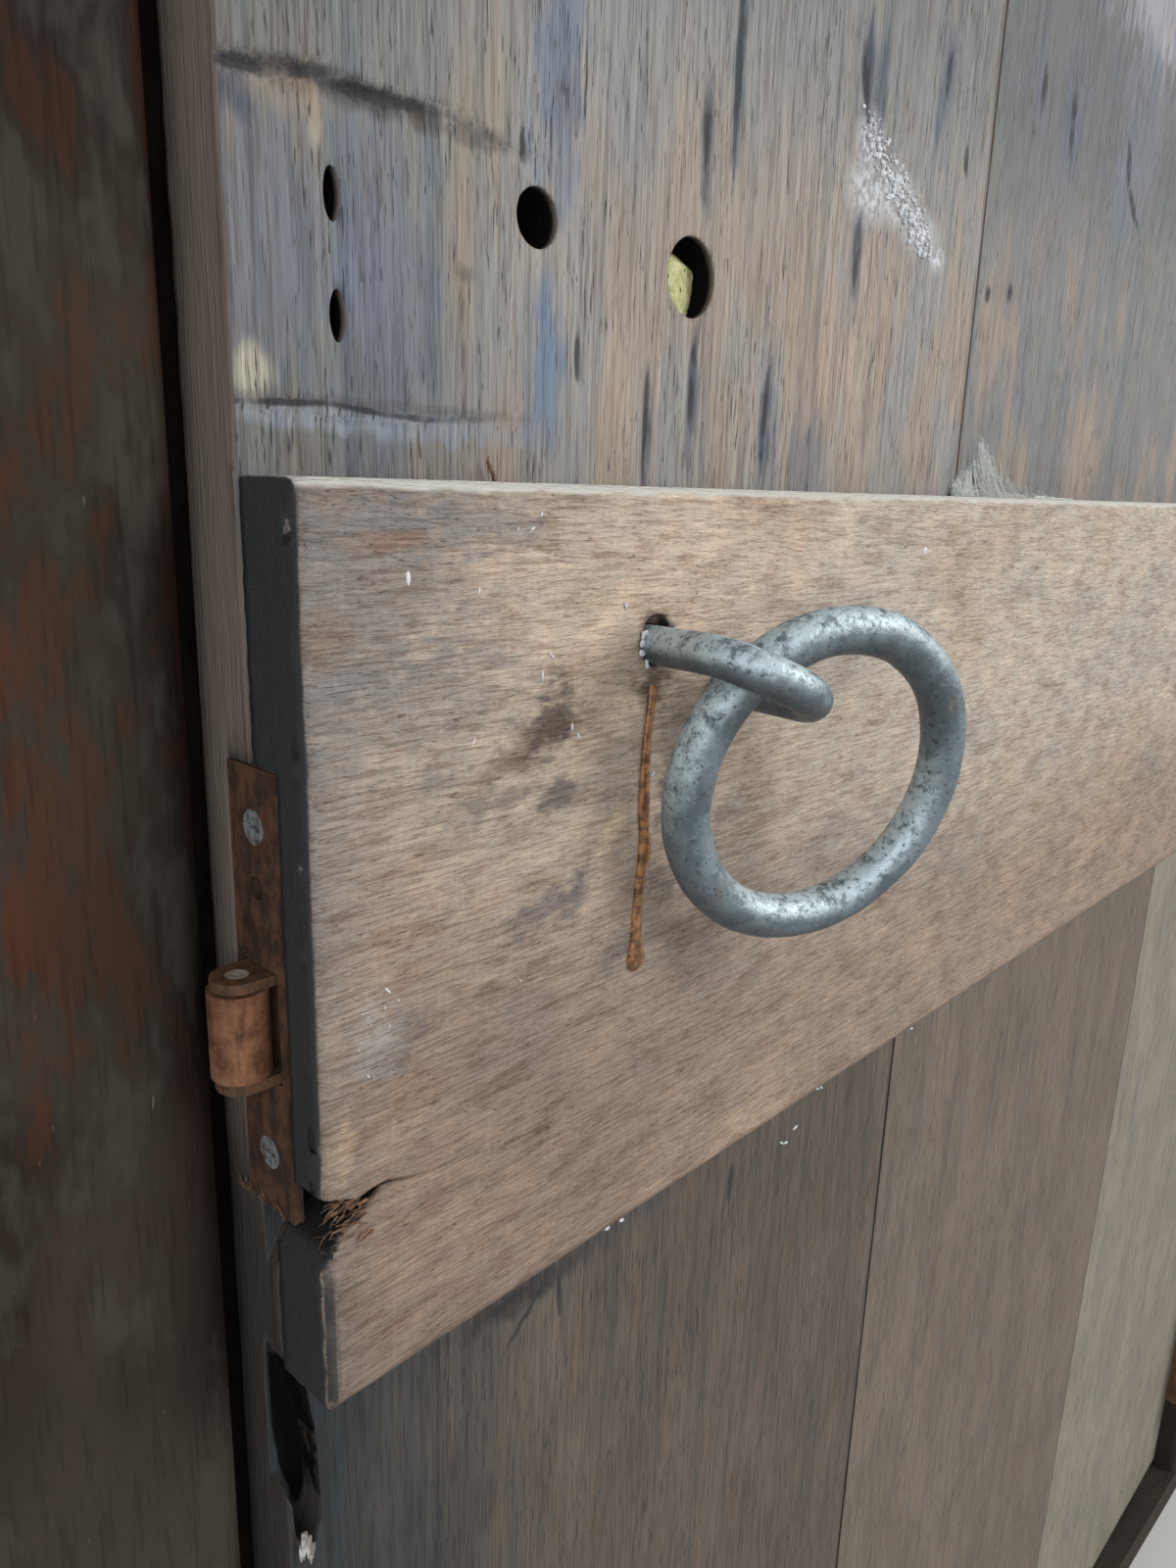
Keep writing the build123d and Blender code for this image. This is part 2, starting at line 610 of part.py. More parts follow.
def cut_wing_recesses():
    """Recesses of the leaf's hinge wings and their screw holes, in the hinge edge."""
    for base in hinge_bases:
        recess = rectangle(
            hinge_edge(LEAF_WIDTH - WING_THICK),
            (-LEDGE_THICK - OVERCUT, leaf_bottom + base - PLATE_CLEARANCE),
            (wing_back + PLATE_CLEARANCE, leaf_bottom + base + HINGE_HEIGHT + PLATE_CLEARANCE),
        )
        extrude(recess, amount=WING_THICK + OVERCUT, mode=Mode.SUBTRACT)
    holes = circles(hinge_edge(LEAF_WIDTH), leaf_wing_spots, SCREW_SHANK_RADIUS + SCREW_FIT)
    extrude(holes, amount=-SCREW_LENGTH - OVERCUT, mode=Mode.SUBTRACT)


with BuildPart() as board_latch:
    add_board(0, FIRST_JOINT - BOARD_GAP / 2)
    add_tongue(FIRST_JOINT)
    cut_catch_mortice()
    cut_leg_holes()
    cut_nail_holes(0, FIRST_JOINT, BOARD_THICK, 0)
    with BuildSketch(leaf_face(BOARD_THICK)):
        with Locations((BORE_SMALL_X, BORE_SMALL_Z)):
            Circle(BORE_SMALL_RADIUS)
        with Locations((BORE_LARGE_X, BORE_LARGE_Z)):
            Circle(BORE_LARGE_RADIUS)
    extrude(amount=BOARD_THICK, mode=Mode.SUBTRACT)
    with BuildSketch(leaf_face(0)):
        with Locations(*SLIT_HOLES):
            Ellipse(SLIT_WIDTH / 2, SLIT_LENGTH / 2)
    extrude(amount=-SLIT_DEPTH, mode=Mode.SUBTRACT)
    extrude(polygon(leaf_face(0), CHIP_OUTLINE), amount=-CHIP_DEPTH, mode=Mode.SUBTRACT)
    extrude(polygon(leaf_face(0), SPLIT_OUTLINE), amount=-SPLIT_DEPTH, mode=Mode.SUBTRACT)
finish(board_latch, "board_latch")

with BuildPart() as board_middle:
    add_board(FIRST_JOINT + BOARD_GAP / 2, SECOND_JOINT - BOARD_GAP / 2)
    add_tongue(SECOND_JOINT)
    cut_groove(FIRST_JOINT)
    cut_nail_holes(FIRST_JOINT, SECOND_JOINT, BOARD_THICK, 0)
finish(board_middle, "board_middle")

with BuildPart() as board_hinge:
    add_board(SECOND_JOINT + BOARD_GAP / 2, LEAF_WIDTH)
    cut_groove(SECOND_JOINT)
    cut_nail_holes(SECOND_JOINT, LEAF_WIDTH, BOARD_THICK, 0)
    cut_wing_recesses()
finish(board_hinge, "board_hinge")

# Wedge of old filler left in the larger bored hole, its face sloping back
with BuildPart() as hole_filler:
    with BuildSketch(leaf_face(BOARD_THICK)):
        with Locations((BORE_LARGE_X, BORE_LARGE_Z)):
            Circle(BORE_LARGE_RADIUS - NAIL_FIT)
    extrude(amount=FILLER_DEPTH)
    slope = radians(FILLER_SLOPE)
    split(
        bisect_by=Plane(
            origin=leaf_point(BORE_LARGE_X, BOARD_THICK - FILLER_DEPTH / 2, BORE_LARGE_Z),
            z_dir=leaf_vector(sin(slope), -cos(slope), sin(slope)),
        ),
        keep=Keep.BOTTOM,
    )
finish(hole_filler, "hole_filler")


# Ledges
def add_ledge(top):
    """Ledge across the leaf, bevelled along its top and bottom front arrises."""
    foot = top - LEDGE_HEIGHT
    section = polygon(
        latch_edge(0),
        [
            (0, top), (LEDGE_THICK - LEDGE_BEVEL, top), (LEDGE_THICK, top - LEDGE_BEVEL),
            (LEDGE_THICK, foot + LEDGE_BEVEL), (LEDGE_THICK - LEDGE_BEVEL, foot), (0, foot),
        ],
    )
    extrude(section, amount=-LEAF_WIDTH)


nail_front = -LEDGE_THICK + NAIL_COVER

with BuildPart() as ledge_middle:
    add_ledge(0)
    cut_catch_mortice()
    cut_leg_holes()
    cut_wing_recesses()
    cut_nail_holes(0, LEAF_WIDTH, 0, nail_front)
    # Mouths of the staple's holes, worn open above the legs
    for root in (near_root, far_root):
        mouth = leg_section(root + Vector(0, 0, MOUTH_RISE), STAPLE_BAR, MOUTH_DEPTH)
        extrude(mouth, amount=2 * MOUTH_DEPTH, mode=Mode.SUBTRACT)
    # Broken end, the crack that runs on from it, and the worn arris below
    extrude(polygon(leaf_face(0), BREAK_OUTLINE), amount=LEDGE_THICK, mode=Mode.SUBTRACT)
    crack = polygon(leaf_face(CRACK_DEPTH - LEDGE_THICK), CRACK_OUTLINE)
    extrude(crack, amount=CRACK_DEPTH, mode=Mode.SUBTRACT)
    worn = polygon(
        leaf_level(WORN_FROM),
        [
            (-OVERCUT, WORN_ARRIS - LEDGE_THICK),
            (WORN_ARRIS, -LEDGE_THICK - OVERCUT),
            (-OVERCUT, -LEDGE_THICK - OVERCUT),
        ],
    )
    extrude(worn, amount=-LEDGE_HEIGHT - WORN_FROM, mode=Mode.SUBTRACT)
finish(ledge_middle, "ledge_middle")

with BuildPart() as ledge_upper:
    add_ledge(upper_ledge)
    cut_wing_recesses()
    cut_nail_holes(0, LEAF_WIDTH, 0, nail_front)
finish(ledge_upper, "ledge_upper")

# Rose-headed nails, driven from the outer face
with BuildPart() as ledge_nails:
    with BuildSketch(leaf_face(BOARD_THICK)):
        with Locations(*nail_spots):
            Rectangle(NAIL_SHANK, NAIL_SHANK)
    extrude(amount=nail_length)
    with BuildSketch(leaf_face(BOARD_THICK)):
        with Locations(*nail_spots):
            RegularPolygon(NAIL_HEAD / 2, 8)
    extrude(amount=-NAIL_HEAD_HEIGHT, taper=45)
finish(ledge_nails, "ledge_nails")

# Staple and ring pull
clench_back = (LEDGE_THICK + BOARD_THICK + CLENCH_GAP + STAPLE_BAR) / (cos(lean) * cos(lift))
near_corner = near_root - staple_out * clench_back
far_corner = far_root - staple_out * clench_back
clench_tail = Vector(0, 0, CLENCH_TAIL + CLENCH_RADIUS)
near_tip = near_corner + clench_tail
far_tip = far_corner - clench_tail
bend_start = near_root + staple_out * (STAPLE_REACH - bend_radius)
bend_end = bend_start + bend_across
bend_top = bend_start + bend_across / 2 + staple_out * bend_radius

with BuildPart() as ring_staple:
    with BuildLine():
        near_leg = [leaf_point(*corner) for corner in (near_tip, near_corner, bend_start)]
        far_leg = [leaf_point(*corner) for corner in (bend_end, far_corner, far_tip)]
        FilletPolyline(*near_leg, radius=CLENCH_RADIUS)
        ThreePointArc(near_leg[-1], leaf_point(*bend_top), far_leg[0])
        FilletPolyline(*far_leg, radius=CLENCH_RADIUS)
    with BuildSketch(leaf_level(near_tip.Z)):
        with Locations((near_tip.X, near_tip.Y)):
            Circle(STAPLE_BAR)
    sweep()
finish(ring_staple, "ring_staple")

ring_plane = Plane(origin=leaf_point(*RING_CENTRE), z_dir=leaf_vector(*RING_NORMAL))
with BuildPart(ring_plane) as pull_ring:
    Torus(RING_RADIUS, RING_BAR)
finish(pull_ring, "pull_ring")

# Roller catch: face plate, case, sprung carriage, roller on its pin
with BuildPart() as catch_plate:
    with BuildSketch(latch_edge(PLATE_THICK)):
        with Locations((-CATCH_Y, plate_middle)):
            Rectangle(PLATE_WIDTH, PLATE_HEIGHT)
        with Locations((-CATCH_Y, roller_level)):
            Rectangle(2 * window_half, window_height, mode=Mode.SUBTRACT)
        with Locations((-CATCH_Y, adjuster_level)):
            Circle(ADJUSTER_RADIUS + SCREW_FIT, mode=Mode.SUBTRACT)
    extrude(amount=PLATE_THICK)
    cut_countersinks(latch_edge(0), catch_screw_spots, PLATE_THICK)
finish(catch_plate, "catch_plate")

with BuildPart() as catch_case:
    block = rectangle(
        latch_edge(PLATE_THICK), (-CATCH_Y - case_half, case_foot), (-CATCH_Y + case_half, case_top)
    )
    extrude(block, amount=-(case_back - PLATE_THICK))
    cavity = rectangle(
        latch_edge(PLATE_THICK),
        (-CATCH_Y - window_half, roller_level - cavity_height / 2),
        (-CATCH_Y + window_half, roller_level + cavity_height / 2),
    )
    extrude(cavity, amount=-(cavity_back - PLATE_THICK), mode=Mode.SUBTRACT)
    adjuster_hole = circles(
        latch_edge(PLATE_THICK), [(-CATCH_Y, adjuster_level)], ADJUSTER_RADIUS + SCREW_FIT
    )
    extrude(adjuster_hole, amount=-ADJUSTER_LENGTH - CARRIAGE_CLEARANCE, mode=Mode.SUBTRACT)
finish(catch_case, "catch_case")

with BuildPart() as catch_adjuster:
    with BuildSketch(latch_edge(PLATE_THICK)):
        with Locations((-CATCH_Y, adjuster_level)):
            Circle(ADJUSTER_RADIUS)
    extrude(amount=-ADJUSTER_LENGTH)
    with BuildSketch(latch_edge(PLATE_THICK)):
        with Locations((-CATCH_Y, adjuster_level)):
            Rectangle(2 * ADJUSTER_RADIUS, CROSS_WIDTH)
    extrude(amount=-CROSS_DEPTH, mode=Mode.SUBTRACT)
finish(catch_adjuster, "catch_adjuster")

with BuildPart() as catch_screws:
    add_screws(latch_edge(0), catch_screw_spots, SCREW_LENGTH)
finish(catch_screws, "catch_screws")

lug_low = roller_level - lug_span / 2
lug_high = roller_level + lug_span / 2

with BuildPart() as catch_carriage:
    for foot in (lug_low, lug_high - LUG_THICK):
        with BuildSketch(leaf_level(foot)):
            with Locations((-ROLLER_OUT, CATCH_Y)):
                Circle(LUG_WIDTH / 2)
            with Locations(((carriage_front - ROLLER_OUT) / 2, CATCH_Y)):
                Rectangle(carriage_front + ROLLER_OUT, LUG_WIDTH)
            with Locations((-ROLLER_OUT, CATCH_Y)):
                Circle(ROLLER_PIN_RADIUS, mode=Mode.SUBTRACT)
        extrude(amount=LUG_THICK)
    back_plate = rectangle(
        latch_edge(carriage_front),
        (-CATCH_Y - LUG_WIDTH / 2, lug_low - CARRIAGE_SHOULDER),
        (-CATCH_Y + LUG_WIDTH / 2, lug_high + CARRIAGE_SHOULDER),
    )
    extrude(back_plate, amount=-CARRIAGE_BACK)
finish(catch_carriage, "catch_carriage")

with BuildPart() as roller_pin:
    with BuildSketch(leaf_level(lug_low)):
        with Locations((-ROLLER_OUT, CATCH_Y)):
            Circle(ROLLER_PIN_RADIUS)
    extrude(amount=lug_span)
finish(roller_pin, "roller_pin")

with BuildPart() as catch_roller:
    with BuildSketch(leaf_level(roller_level - ROLLER_HEIGHT / 2)):
        with Locations((-ROLLER_OUT, CATCH_Y)):
            Circle(ROLLER_RADIUS)
            Circle(ROLLER_PIN_RADIUS + ROLLER_RUNNING, mode=Mode.SUBTRACT)
    extrude(amount=ROLLER_HEIGHT)
finish(catch_roller, "catch_roller")

# Bowed strip spring between the carriage and the case's back
with BuildPart() as catch_spring:
    with BuildSketch(leaf_face(CATCH_Y + SPRING_WIDTH / 2)):
        with BuildLine():
            bow = ThreePointArc(
                (cavity_back - CARRIAGE_CLEARANCE - SPRING_STRIP, roller_level - SPRING_REACH),
                (spring_front, roller_level),
                (cavity_back - CARRIAGE_CLEARANCE - SPRING_STRIP, roller_level + SPRING_REACH),
            )
            offset(bow, amount=SPRING_STRIP, side=Side.RIGHT)
        make_face()
    extrude(amount=SPRING_WIDTH)
finish(catch_spring, "catch_spring")

# Strike plate, its pocket eased front and back where the roller rides in and out
with BuildPart() as strike_plate:
    with BuildSketch(latch_reveal(-half_rebate - STRIKE_THICK)):
        with Locations(((strike_front_y + strike_back_y) / 2, strike_level)):
            Rectangle(strike_back_y - strike_front_y, STRIKE_HEIGHT)
        with Locations((catch_line, strike_level)):
            Rectangle(2 * POCKET_SIDE, pocket_height, mode=Mode.SUBTRACT)
    extrude(amount=STRIKE_THICK)
    lips = (
        strike_plate.edges()
        .filter_by(Axis.Z)
        .filter_by_position(Axis.X, -half_rebate - OVERCUT / 2, -half_rebate + OVERCUT / 2)
        .filter_by_position(Axis.Y, catch_line - POCKET_SIDE - OVERCUT, catch_line + POCKET_SIDE + OVERCUT)
    )
    fillet(lips, radius=POCKET_LIP)
    cut_countersinks(latch_reveal(-half_rebate), strike_screw_spots, STRIKE_THICK)
finish(strike_plate, "strike_plate")

with BuildPart() as strike_screws:
    add_screws(latch_reveal(-half_rebate), strike_screw_spots, SCREW_LENGTH)
finish(strike_screws, "strike_screws")

# Hinges: the frame's half is below and carries the pin, the leaf's half lifts off it
with BuildPart() as hinge_frame_wings:
    for base in hinge_bases:
        foot = leaf_foot + base
        knuckle = knuckle_outline(
            Plane.XY.offset(foot), hinge_x, hinge_y, half_rebate, half_rebate + WING_THICK, frame_front
        )
        extrude(knuckle, amount=knuckle_height)
        wing = rectangle(
            hinge_reveal(half_rebate + WING_THICK),
            (-frame_front, foot),
            (-board_face - wing_back, foot + HINGE_HEIGHT),
        )
        extrude(wing, amount=WING_THICK)
    cut_countersinks(hinge_reveal(half_rebate), frame_wing_spots, WING_THICK)
finish(hinge_frame_wings, "hinge_frame_wings")

with BuildPart() as hinge_leaf_wings:
    for base in hinge_bases:
        foot = leaf_bottom + base
        knuckle = knuckle_outline(
            leaf_level(foot + HINGE_HEIGHT - knuckle_height),
            leaf_hinge_x, leaf_hinge_y, LEAF_WIDTH - WING_THICK, LEAF_WIDTH, -LEDGE_THICK,
        )
        extrude(knuckle, amount=knuckle_height)
        cap = circles(leaf_level(foot + HINGE_HEIGHT), [(leaf_hinge_x, leaf_hinge_y)], KNUCKLE_RADIUS)
        extrude(cap, amount=CAP_HEIGHT, taper=25)
        wing = rectangle(
            hinge_edge(LEAF_WIDTH - WING_THICK), (-LEDGE_THICK, foot), (wing_back, foot + HINGE_HEIGHT)
        )
        extrude(wing, amount=WING_THICK)
    cut_countersinks(hinge_edge(LEAF_WIDTH), leaf_wing_spots, WING_THICK)
finish(hinge_leaf_wings, "hinge_leaf_wings")

with BuildPart() as hinge_pins:
    for base in hinge_bases:
        pin = circles(Plane.XY.offset(leaf_foot + base), [(hinge_x, hinge_y)], HINGE_PIN_RADIUS)
        extrude(pin, amount=HINGE_HEIGHT - HINGE_RISE)
finish(hinge_pins, "hinge_pins")

with BuildPart() as hinge_washers:
    for base in hinge_bases:
        with BuildSketch(Plane.XY.offset(leaf_foot + base + knuckle_height)) as washer:
            with Locations((hinge_x, hinge_y)):
                Circle(KNUCKLE_RADIUS)
                Circle(HINGE_PIN_RADIUS + HINGE_PIN_RUNNING, mode=Mode.SUBTRACT)
        extrude(washer.sketch, amount=WASHER_THICK)
finish(hinge_washers, "hinge_washers")

with BuildPart() as hinge_frame_screws:
    add_screws(hinge_reveal(half_rebate), frame_wing_spots, SCREW_LENGTH)
finish(hinge_frame_screws, "hinge_frame_screws")

with BuildPart() as hinge_leaf_screws:
    add_screws(hinge_edge(LEAF_WIDTH), leaf_wing_spots, SCREW_LENGTH)
finish(hinge_leaf_screws, "hinge_leaf_screws")
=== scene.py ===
"""Looks of the arched ledged door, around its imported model.

Materials are drawn in the leaf's own frame, in millimetres: x from the leaf's latch edge,
y from the boards' ledged face, z from the top of the middle ledge.
"""

import json
from math import atan2, cos, exp, hypot, pi, radians, sin
from random import Random

import bmesh
import bpy
from mathutils import Matrix, Vector, noise


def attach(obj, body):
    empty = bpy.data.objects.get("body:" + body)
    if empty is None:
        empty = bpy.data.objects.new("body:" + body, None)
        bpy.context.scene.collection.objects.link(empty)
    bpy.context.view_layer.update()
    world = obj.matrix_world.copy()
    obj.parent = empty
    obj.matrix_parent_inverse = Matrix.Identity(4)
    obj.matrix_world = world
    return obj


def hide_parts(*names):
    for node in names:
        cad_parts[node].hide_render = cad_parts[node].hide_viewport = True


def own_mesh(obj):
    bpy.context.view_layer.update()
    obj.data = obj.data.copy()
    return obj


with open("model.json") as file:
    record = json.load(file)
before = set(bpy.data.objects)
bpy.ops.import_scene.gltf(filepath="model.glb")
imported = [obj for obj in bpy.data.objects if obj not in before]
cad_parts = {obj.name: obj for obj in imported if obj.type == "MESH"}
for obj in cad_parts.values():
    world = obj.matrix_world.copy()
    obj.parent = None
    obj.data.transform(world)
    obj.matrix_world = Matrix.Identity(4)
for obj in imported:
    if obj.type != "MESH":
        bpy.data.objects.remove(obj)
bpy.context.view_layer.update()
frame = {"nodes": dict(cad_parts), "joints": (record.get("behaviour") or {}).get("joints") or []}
nodes = frame["nodes"]

# The leaf's frame in the row's frame
joints = {joint["name"]: joint for joint in frame["joints"]}
AJAR = radians(1.7)
HINGE = Vector(joints["leaf_swing"]["pos_m"])
ORIGIN_FROM_HINGE = (-0.9815, 0.0289, 0)
MILLIMETRE = 0.001
leaf_turn = Matrix.Rotation(AJAR, 3, "Z")
leaf_origin = HINGE + leaf_turn @ Vector(ORIGIN_FROM_HINGE)
leaf_matrix = Matrix.Translation(leaf_origin) @ leaf_turn.to_4x4() @ Matrix.Scale(MILLIMETRE, 4)

# Levels and faces in the leaf's frame
BOARD_JOINT = 298.0         # x where the latch board meets the middle one
LEDGE_FACE = -20.5          # y of the ledges' front
LEDGE_FOOT = -205.0         # z of the middle ledge's underside
UPPER_LEDGE = 540.0         # z of the upper ledge's top


def leaf_place(point):
    """A point given in the leaf's frame, in millimetres."""
    return leaf_origin + leaf_turn @ (Vector(point) / 1000)


CRACK_END, CRACK_RIM = 0.8, 0.45    # how far a painted crack fades past its ends and sides, mm


class Shader:
    """A material's node tree, in the leaf's coordinates.

    Light that bounces off it takes the plain average colour, which keeps a render short.
    """

    def __init__(self, name, average):
        self.material = bpy.data.materials.new(name)
        self.material.use_nodes = True
        self.tree = self.material.node_tree
        self.tree.nodes.clear()
        output = self.tree.nodes.new("ShaderNodeOutputMaterial")
        self.surface = self.tree.nodes.new("ShaderNodeBsdfPrincipled")
        bounced = self.tree.nodes.new("ShaderNodeBsdfDiffuse")
        bounced.inputs["Color"].default_value = (*average, 1.0)
        ray = self.tree.nodes.new("ShaderNodeLightPath")
        choice = self.tree.nodes.new("ShaderNodeMixShader")
        self.tree.links.new(ray.outputs["Is Camera Ray"], choice.inputs[0])
        self.tree.links.new(bounced.outputs[0], choice.inputs[1])
        self.tree.links.new(self.surface.outputs[0], choice.inputs[2])
        self.tree.links.new(choice.outputs[0], output.inputs[0])
        coordinates = self.tree.nodes.new("ShaderNodeTexCoord")
        place = self.tree.nodes.new("ShaderNodeMapping")
        place.vector_type = "TEXTURE"
        place.inputs["Location"].default_value = leaf_origin
        place.inputs["Rotation"].default_value = (0, 0, AJAR)
        place.inputs["Scale"].default_value = (MILLIMETRE, MILLIMETRE, MILLIMETRE)
        self.link(coordinates.outputs["Object"], place.inputs["Vector"])
        self.place = place.outputs[0]
        self.x, self.y, self.z = self.parts(self.place)
        self.facing = self.parts(coordinates.outputs["Normal"])

    def link(self, source, socket):
        """Joins an output to a socket, or sets the socket to a plain value."""
        if isinstance(source, bpy.types.NodeSocket):
            self.tree.links.new(source, socket)
        else:
            socket.default_value = source

    def math(self, operation, a, b=0.0, c=0.0):
        """One Math node's result; each value is an output or a number."""
        node = self.tree.nodes.new("ShaderNodeMath")
        node.operation = operation
        for value, socket in zip((a, b, c), node.inputs):
            self.link(value, socket)
        return node.outputs[0]

    def mul(self, a, b):
        return self.math("MULTIPLY", a, b)

    def add(self, a, b):
        return self.math("ADD", a, b)

    def fade(self, value, low, high, start=0.0, end=1.0):
        """Goes smoothly from start, where the value is low, to end, where it is high."""
        node = self.tree.nodes.new("ShaderNodeMapRange")
        node.interpolation_type = "SMOOTHSTEP"
        for source, socket in zip((value, low, high, start, end), node.inputs):
            self.link(source, socket)
        return node.outputs["Result"]

    def parts(self, vector):
        """A vector's x, y and z."""
        node = self.tree.nodes.new("ShaderNodeSeparateXYZ")
        self.link(vector, node.inputs[0])
        return node.outputs

    def step(self, value, low, high):
        """0 below low, 1 above high and smooth between; low may be the larger."""
        if low > high:
            return self.fade(value, high, low, 1.0, 0.0)
        return self.fade(value, low, high)

    def stretch(self, sizes, shift, turn=0.0):
        """The leaf's coordinates, divided by a size along each axis; turn is about y."""
        node = self.tree.nodes.new("ShaderNodeMapping")
        node.inputs["Location"].default_value = shift
        node.inputs["Rotation"].default_value = (0, turn, 0)
        node.inputs["Scale"].default_value = [1 / size for size in sizes]
        self.link(self.place, node.inputs["Vector"])
        return node.outputs[0]

    def wobble(self, *noise):
        """Noise that varies about 0."""
        return self.add(self.noise(*noise), -0.5)

    def noise(self, sizes, detail, rough=0.55, shift=(0, 0, 0), turn=0.0, bend=0.0):
        """Noise from 0 to 1, mostly near 0.5, with its size in millimetres along each axis."""
        node = self.tree.nodes.new("ShaderNodeTexNoise")
        self.link(self.stretch(sizes, shift, turn), node.inputs["Vector"])
        node.inputs["Scale"].default_value = 1.0
        node.inputs["Detail"].default_value = detail
        node.inputs["Roughness"].default_value = rough
        node.inputs["Distortion"].default_value = bend
        return node.outputs["Fac"]

    def cells(self, sizes, shift):
        """Distance to the nearest of the points scattered one to a cell."""
        node = self.tree.nodes.new("ShaderNodeTexVoronoi")
        self.link(self.stretch(sizes, shift), node.inputs["Vector"])
        node.inputs["Scale"].default_value = 1.0
        return node.outputs["Distance"]

    def mix(self, factor, a, b, kind="MIX"):
        """a where the factor is 0, and b, or a blended with b, where it is 1."""
        node = self.tree.nodes.new("ShaderNodeMix")
        node.data_type = "RGBA"
        node.blend_type = kind
        node.clamp_factor = True
        self.link(factor, node.inputs[0])
        for value, socket in ((a, node.inputs[6]), (b, node.inputs[7])):
            self.link(value if isinstance(value, bpy.types.NodeSocket) else (*value, 1.0), socket)
        return node.outputs[2]

    def tinge(self, colour, tint, value, low, high, much, kind="MIX"):
        """Mixes a tint into a colour, by much at most, where the value goes from low to high."""
        return self.mix(self.mul(self.step(value, low, high), much), colour, tint, kind)

    def largest(self, total, value):
        """The larger of a total so far, or None, and one more value."""
        return value if total is None else self.math("MAXIMUM", total, value)

    def vector(self, operation, *values):
        """One Vector Math node."""
        node = self.tree.nodes.new("ShaderNodeVectorMath")
        node.operation = operation
        for value, socket in zip(values, node.inputs):
            self.link(value, socket)
        return node

    def spot(self, x, z, half_x, half_z, much=1.0, ragged=0.25, soft=0.5, turn=0.0, wobble=None):
        """much inside a ragged oval in x and z, fading to 0 outside it; wobble varies about 0."""
        if turn:
            local = self.tree.nodes.new("ShaderNodeMapping")
            local.vector_type = "TEXTURE"
            local.inputs["Location"].default_value = (x, 0, z)
            local.inputs["Rotation"].default_value = (0, -turn, 0)
            local.inputs["Scale"].default_value = (half_x, 1e9, half_z)
            self.link(self.place, local.inputs["Vector"])
        else:
            size, shift = (1 / half_x, 0, 1 / half_z), (-x / half_x, 0, -z / half_z)
            local = self.vector("MULTIPLY_ADD", self.place, size, shift)
        far = self.vector("LENGTH", local.outputs[0]).outputs["Value"]
        if wobble is not None:
            far = self.math("MULTIPLY_ADD", wobble, 4 * ragged, far)
        return self.fade(far, 1 - soft / 2, 1 + soft / 2, much, 0.0)

    def crack(self, points, half, wobble):
        """1 along a line through points in x and z, each stretch of it a long thin oval."""
        total = None
        for (x0, z0), (x1, z1) in zip(points, points[1:]):
            middle_x, middle_z = (x0 + x1) / 2, (z0 + z1) / 2
            long = hypot(x1 - x0, z1 - z0) / 2 + CRACK_END
            turn = atan2(z1 - z0, x1 - x0)
            oval = self.spot(middle_x, middle_z, long, half + CRACK_RIM, 1.0, 0.3, 1.0, turn, wobble)
            total = self.largest(total, oval)
        return total

    def finish(self, colour, roughness, height, relief=0.001, metallic=0.0, specular=0.4):
        """Joins everything to the surface, relief metres deep, and gives the material."""
        self.link(colour, self.surface.inputs["Base Color"])
        self.link(roughness, self.surface.inputs["Roughness"])
        self.link(metallic, self.surface.inputs["Metallic"])
        self.link(specular, self.surface.inputs["Specular IOR Level"])
        bump = self.tree.nodes.new("ShaderNodeBump")
        bump.inputs["Distance"].default_value = relief
        self.link(height, bump.inputs["Height"])
        self.link(bump.outputs[0], self.surface.inputs["Normal"])
        return self.material


def dress(material, *names):
    """Gives CAD nodes a material."""
    for name in names:
        data = nodes[name].data
        data.materials.clear()
        data.materials.append(material)


# Cracks in the boards, in millimetres: points in the leaf's x and z, half width, and depth of the relief
BOARD_CRACKS = [
    ([(0, 70.4), (12, 71.2), (24, 74.0)], 0.7, 2.2),
    ([(23.5, 71.8), (35, 72.6), (53, 73.2), (66, 71.4)], 0.6, 1.6),
    ([(0, 13.3), (22, 14.2), (36.5, 12.8), (50, 12.6), (76, 14.4)], 0.2, 0.5),
    ([(56.3, 42), (56.8, 22), (57, 0.5)], 0.3, 1.0),
    ([(138.6, 95), (138.8, 78)], 0.9, 1.6),
    ([(137.4, 38), (137.3, 16)], 0.9, 1.4),
    ([(118.9, 29), (118.4, 2)], 0.5, 1.0),
    ([(172.5, 31), (171.6, 6)], 0.8, 1.2),
    ([(92.4, 35), (92.7, 25)], 0.7, 1.0),
    ([(73.5, 75), (73.7, 69)], 0.5, 1.0),
    ([(210.6, 127), (215.8, 109)], 1.5, 2.0),
    ([(215.4, 81), (215.2, 62)], 1.6, 1.0),
    ([(262.9, 139), (262.3, 127)], 1.4, 1.6),
    ([(280.4, 115), (281.1, 107)], 1.0, 1.2),
    ([(150.6, 130), (150.2, 88)], 1.1, 1.0),
    ([(334.6, 153), (333.9, 139)], 1.6, 1.6),
    ([(362.5, 152), (364.8, 131)], 1.8, 1.6),
    ([(424.0, 147), (430, 131), (446, 119)], 2.0, 1.4),
    ([(307.1, 74), (307.1, 70)], 1.6, 1.2),
    ([(325.2, 77), (325.2, 72)], 1.8, 1.2),
    ([(9, -215), (12, -285), (15, -380)], 0.6, 1.4),
    ([(88, -231), (73, -246)], 0.5, 1.4),
    ([(94, -233), (95, -247)], 0.5, 1.2),
    ([(79, -229), (66, -231)], 0.9, 1.2),
    ([(182, -236), (181.5, -248)], 1.2, 1.2),
]


def front_only(shader):
    """1 on faces that look towards the ledged side, 0 on edges and the back."""
    return shader.step(shader.facing[1], -0.45, -0.75)


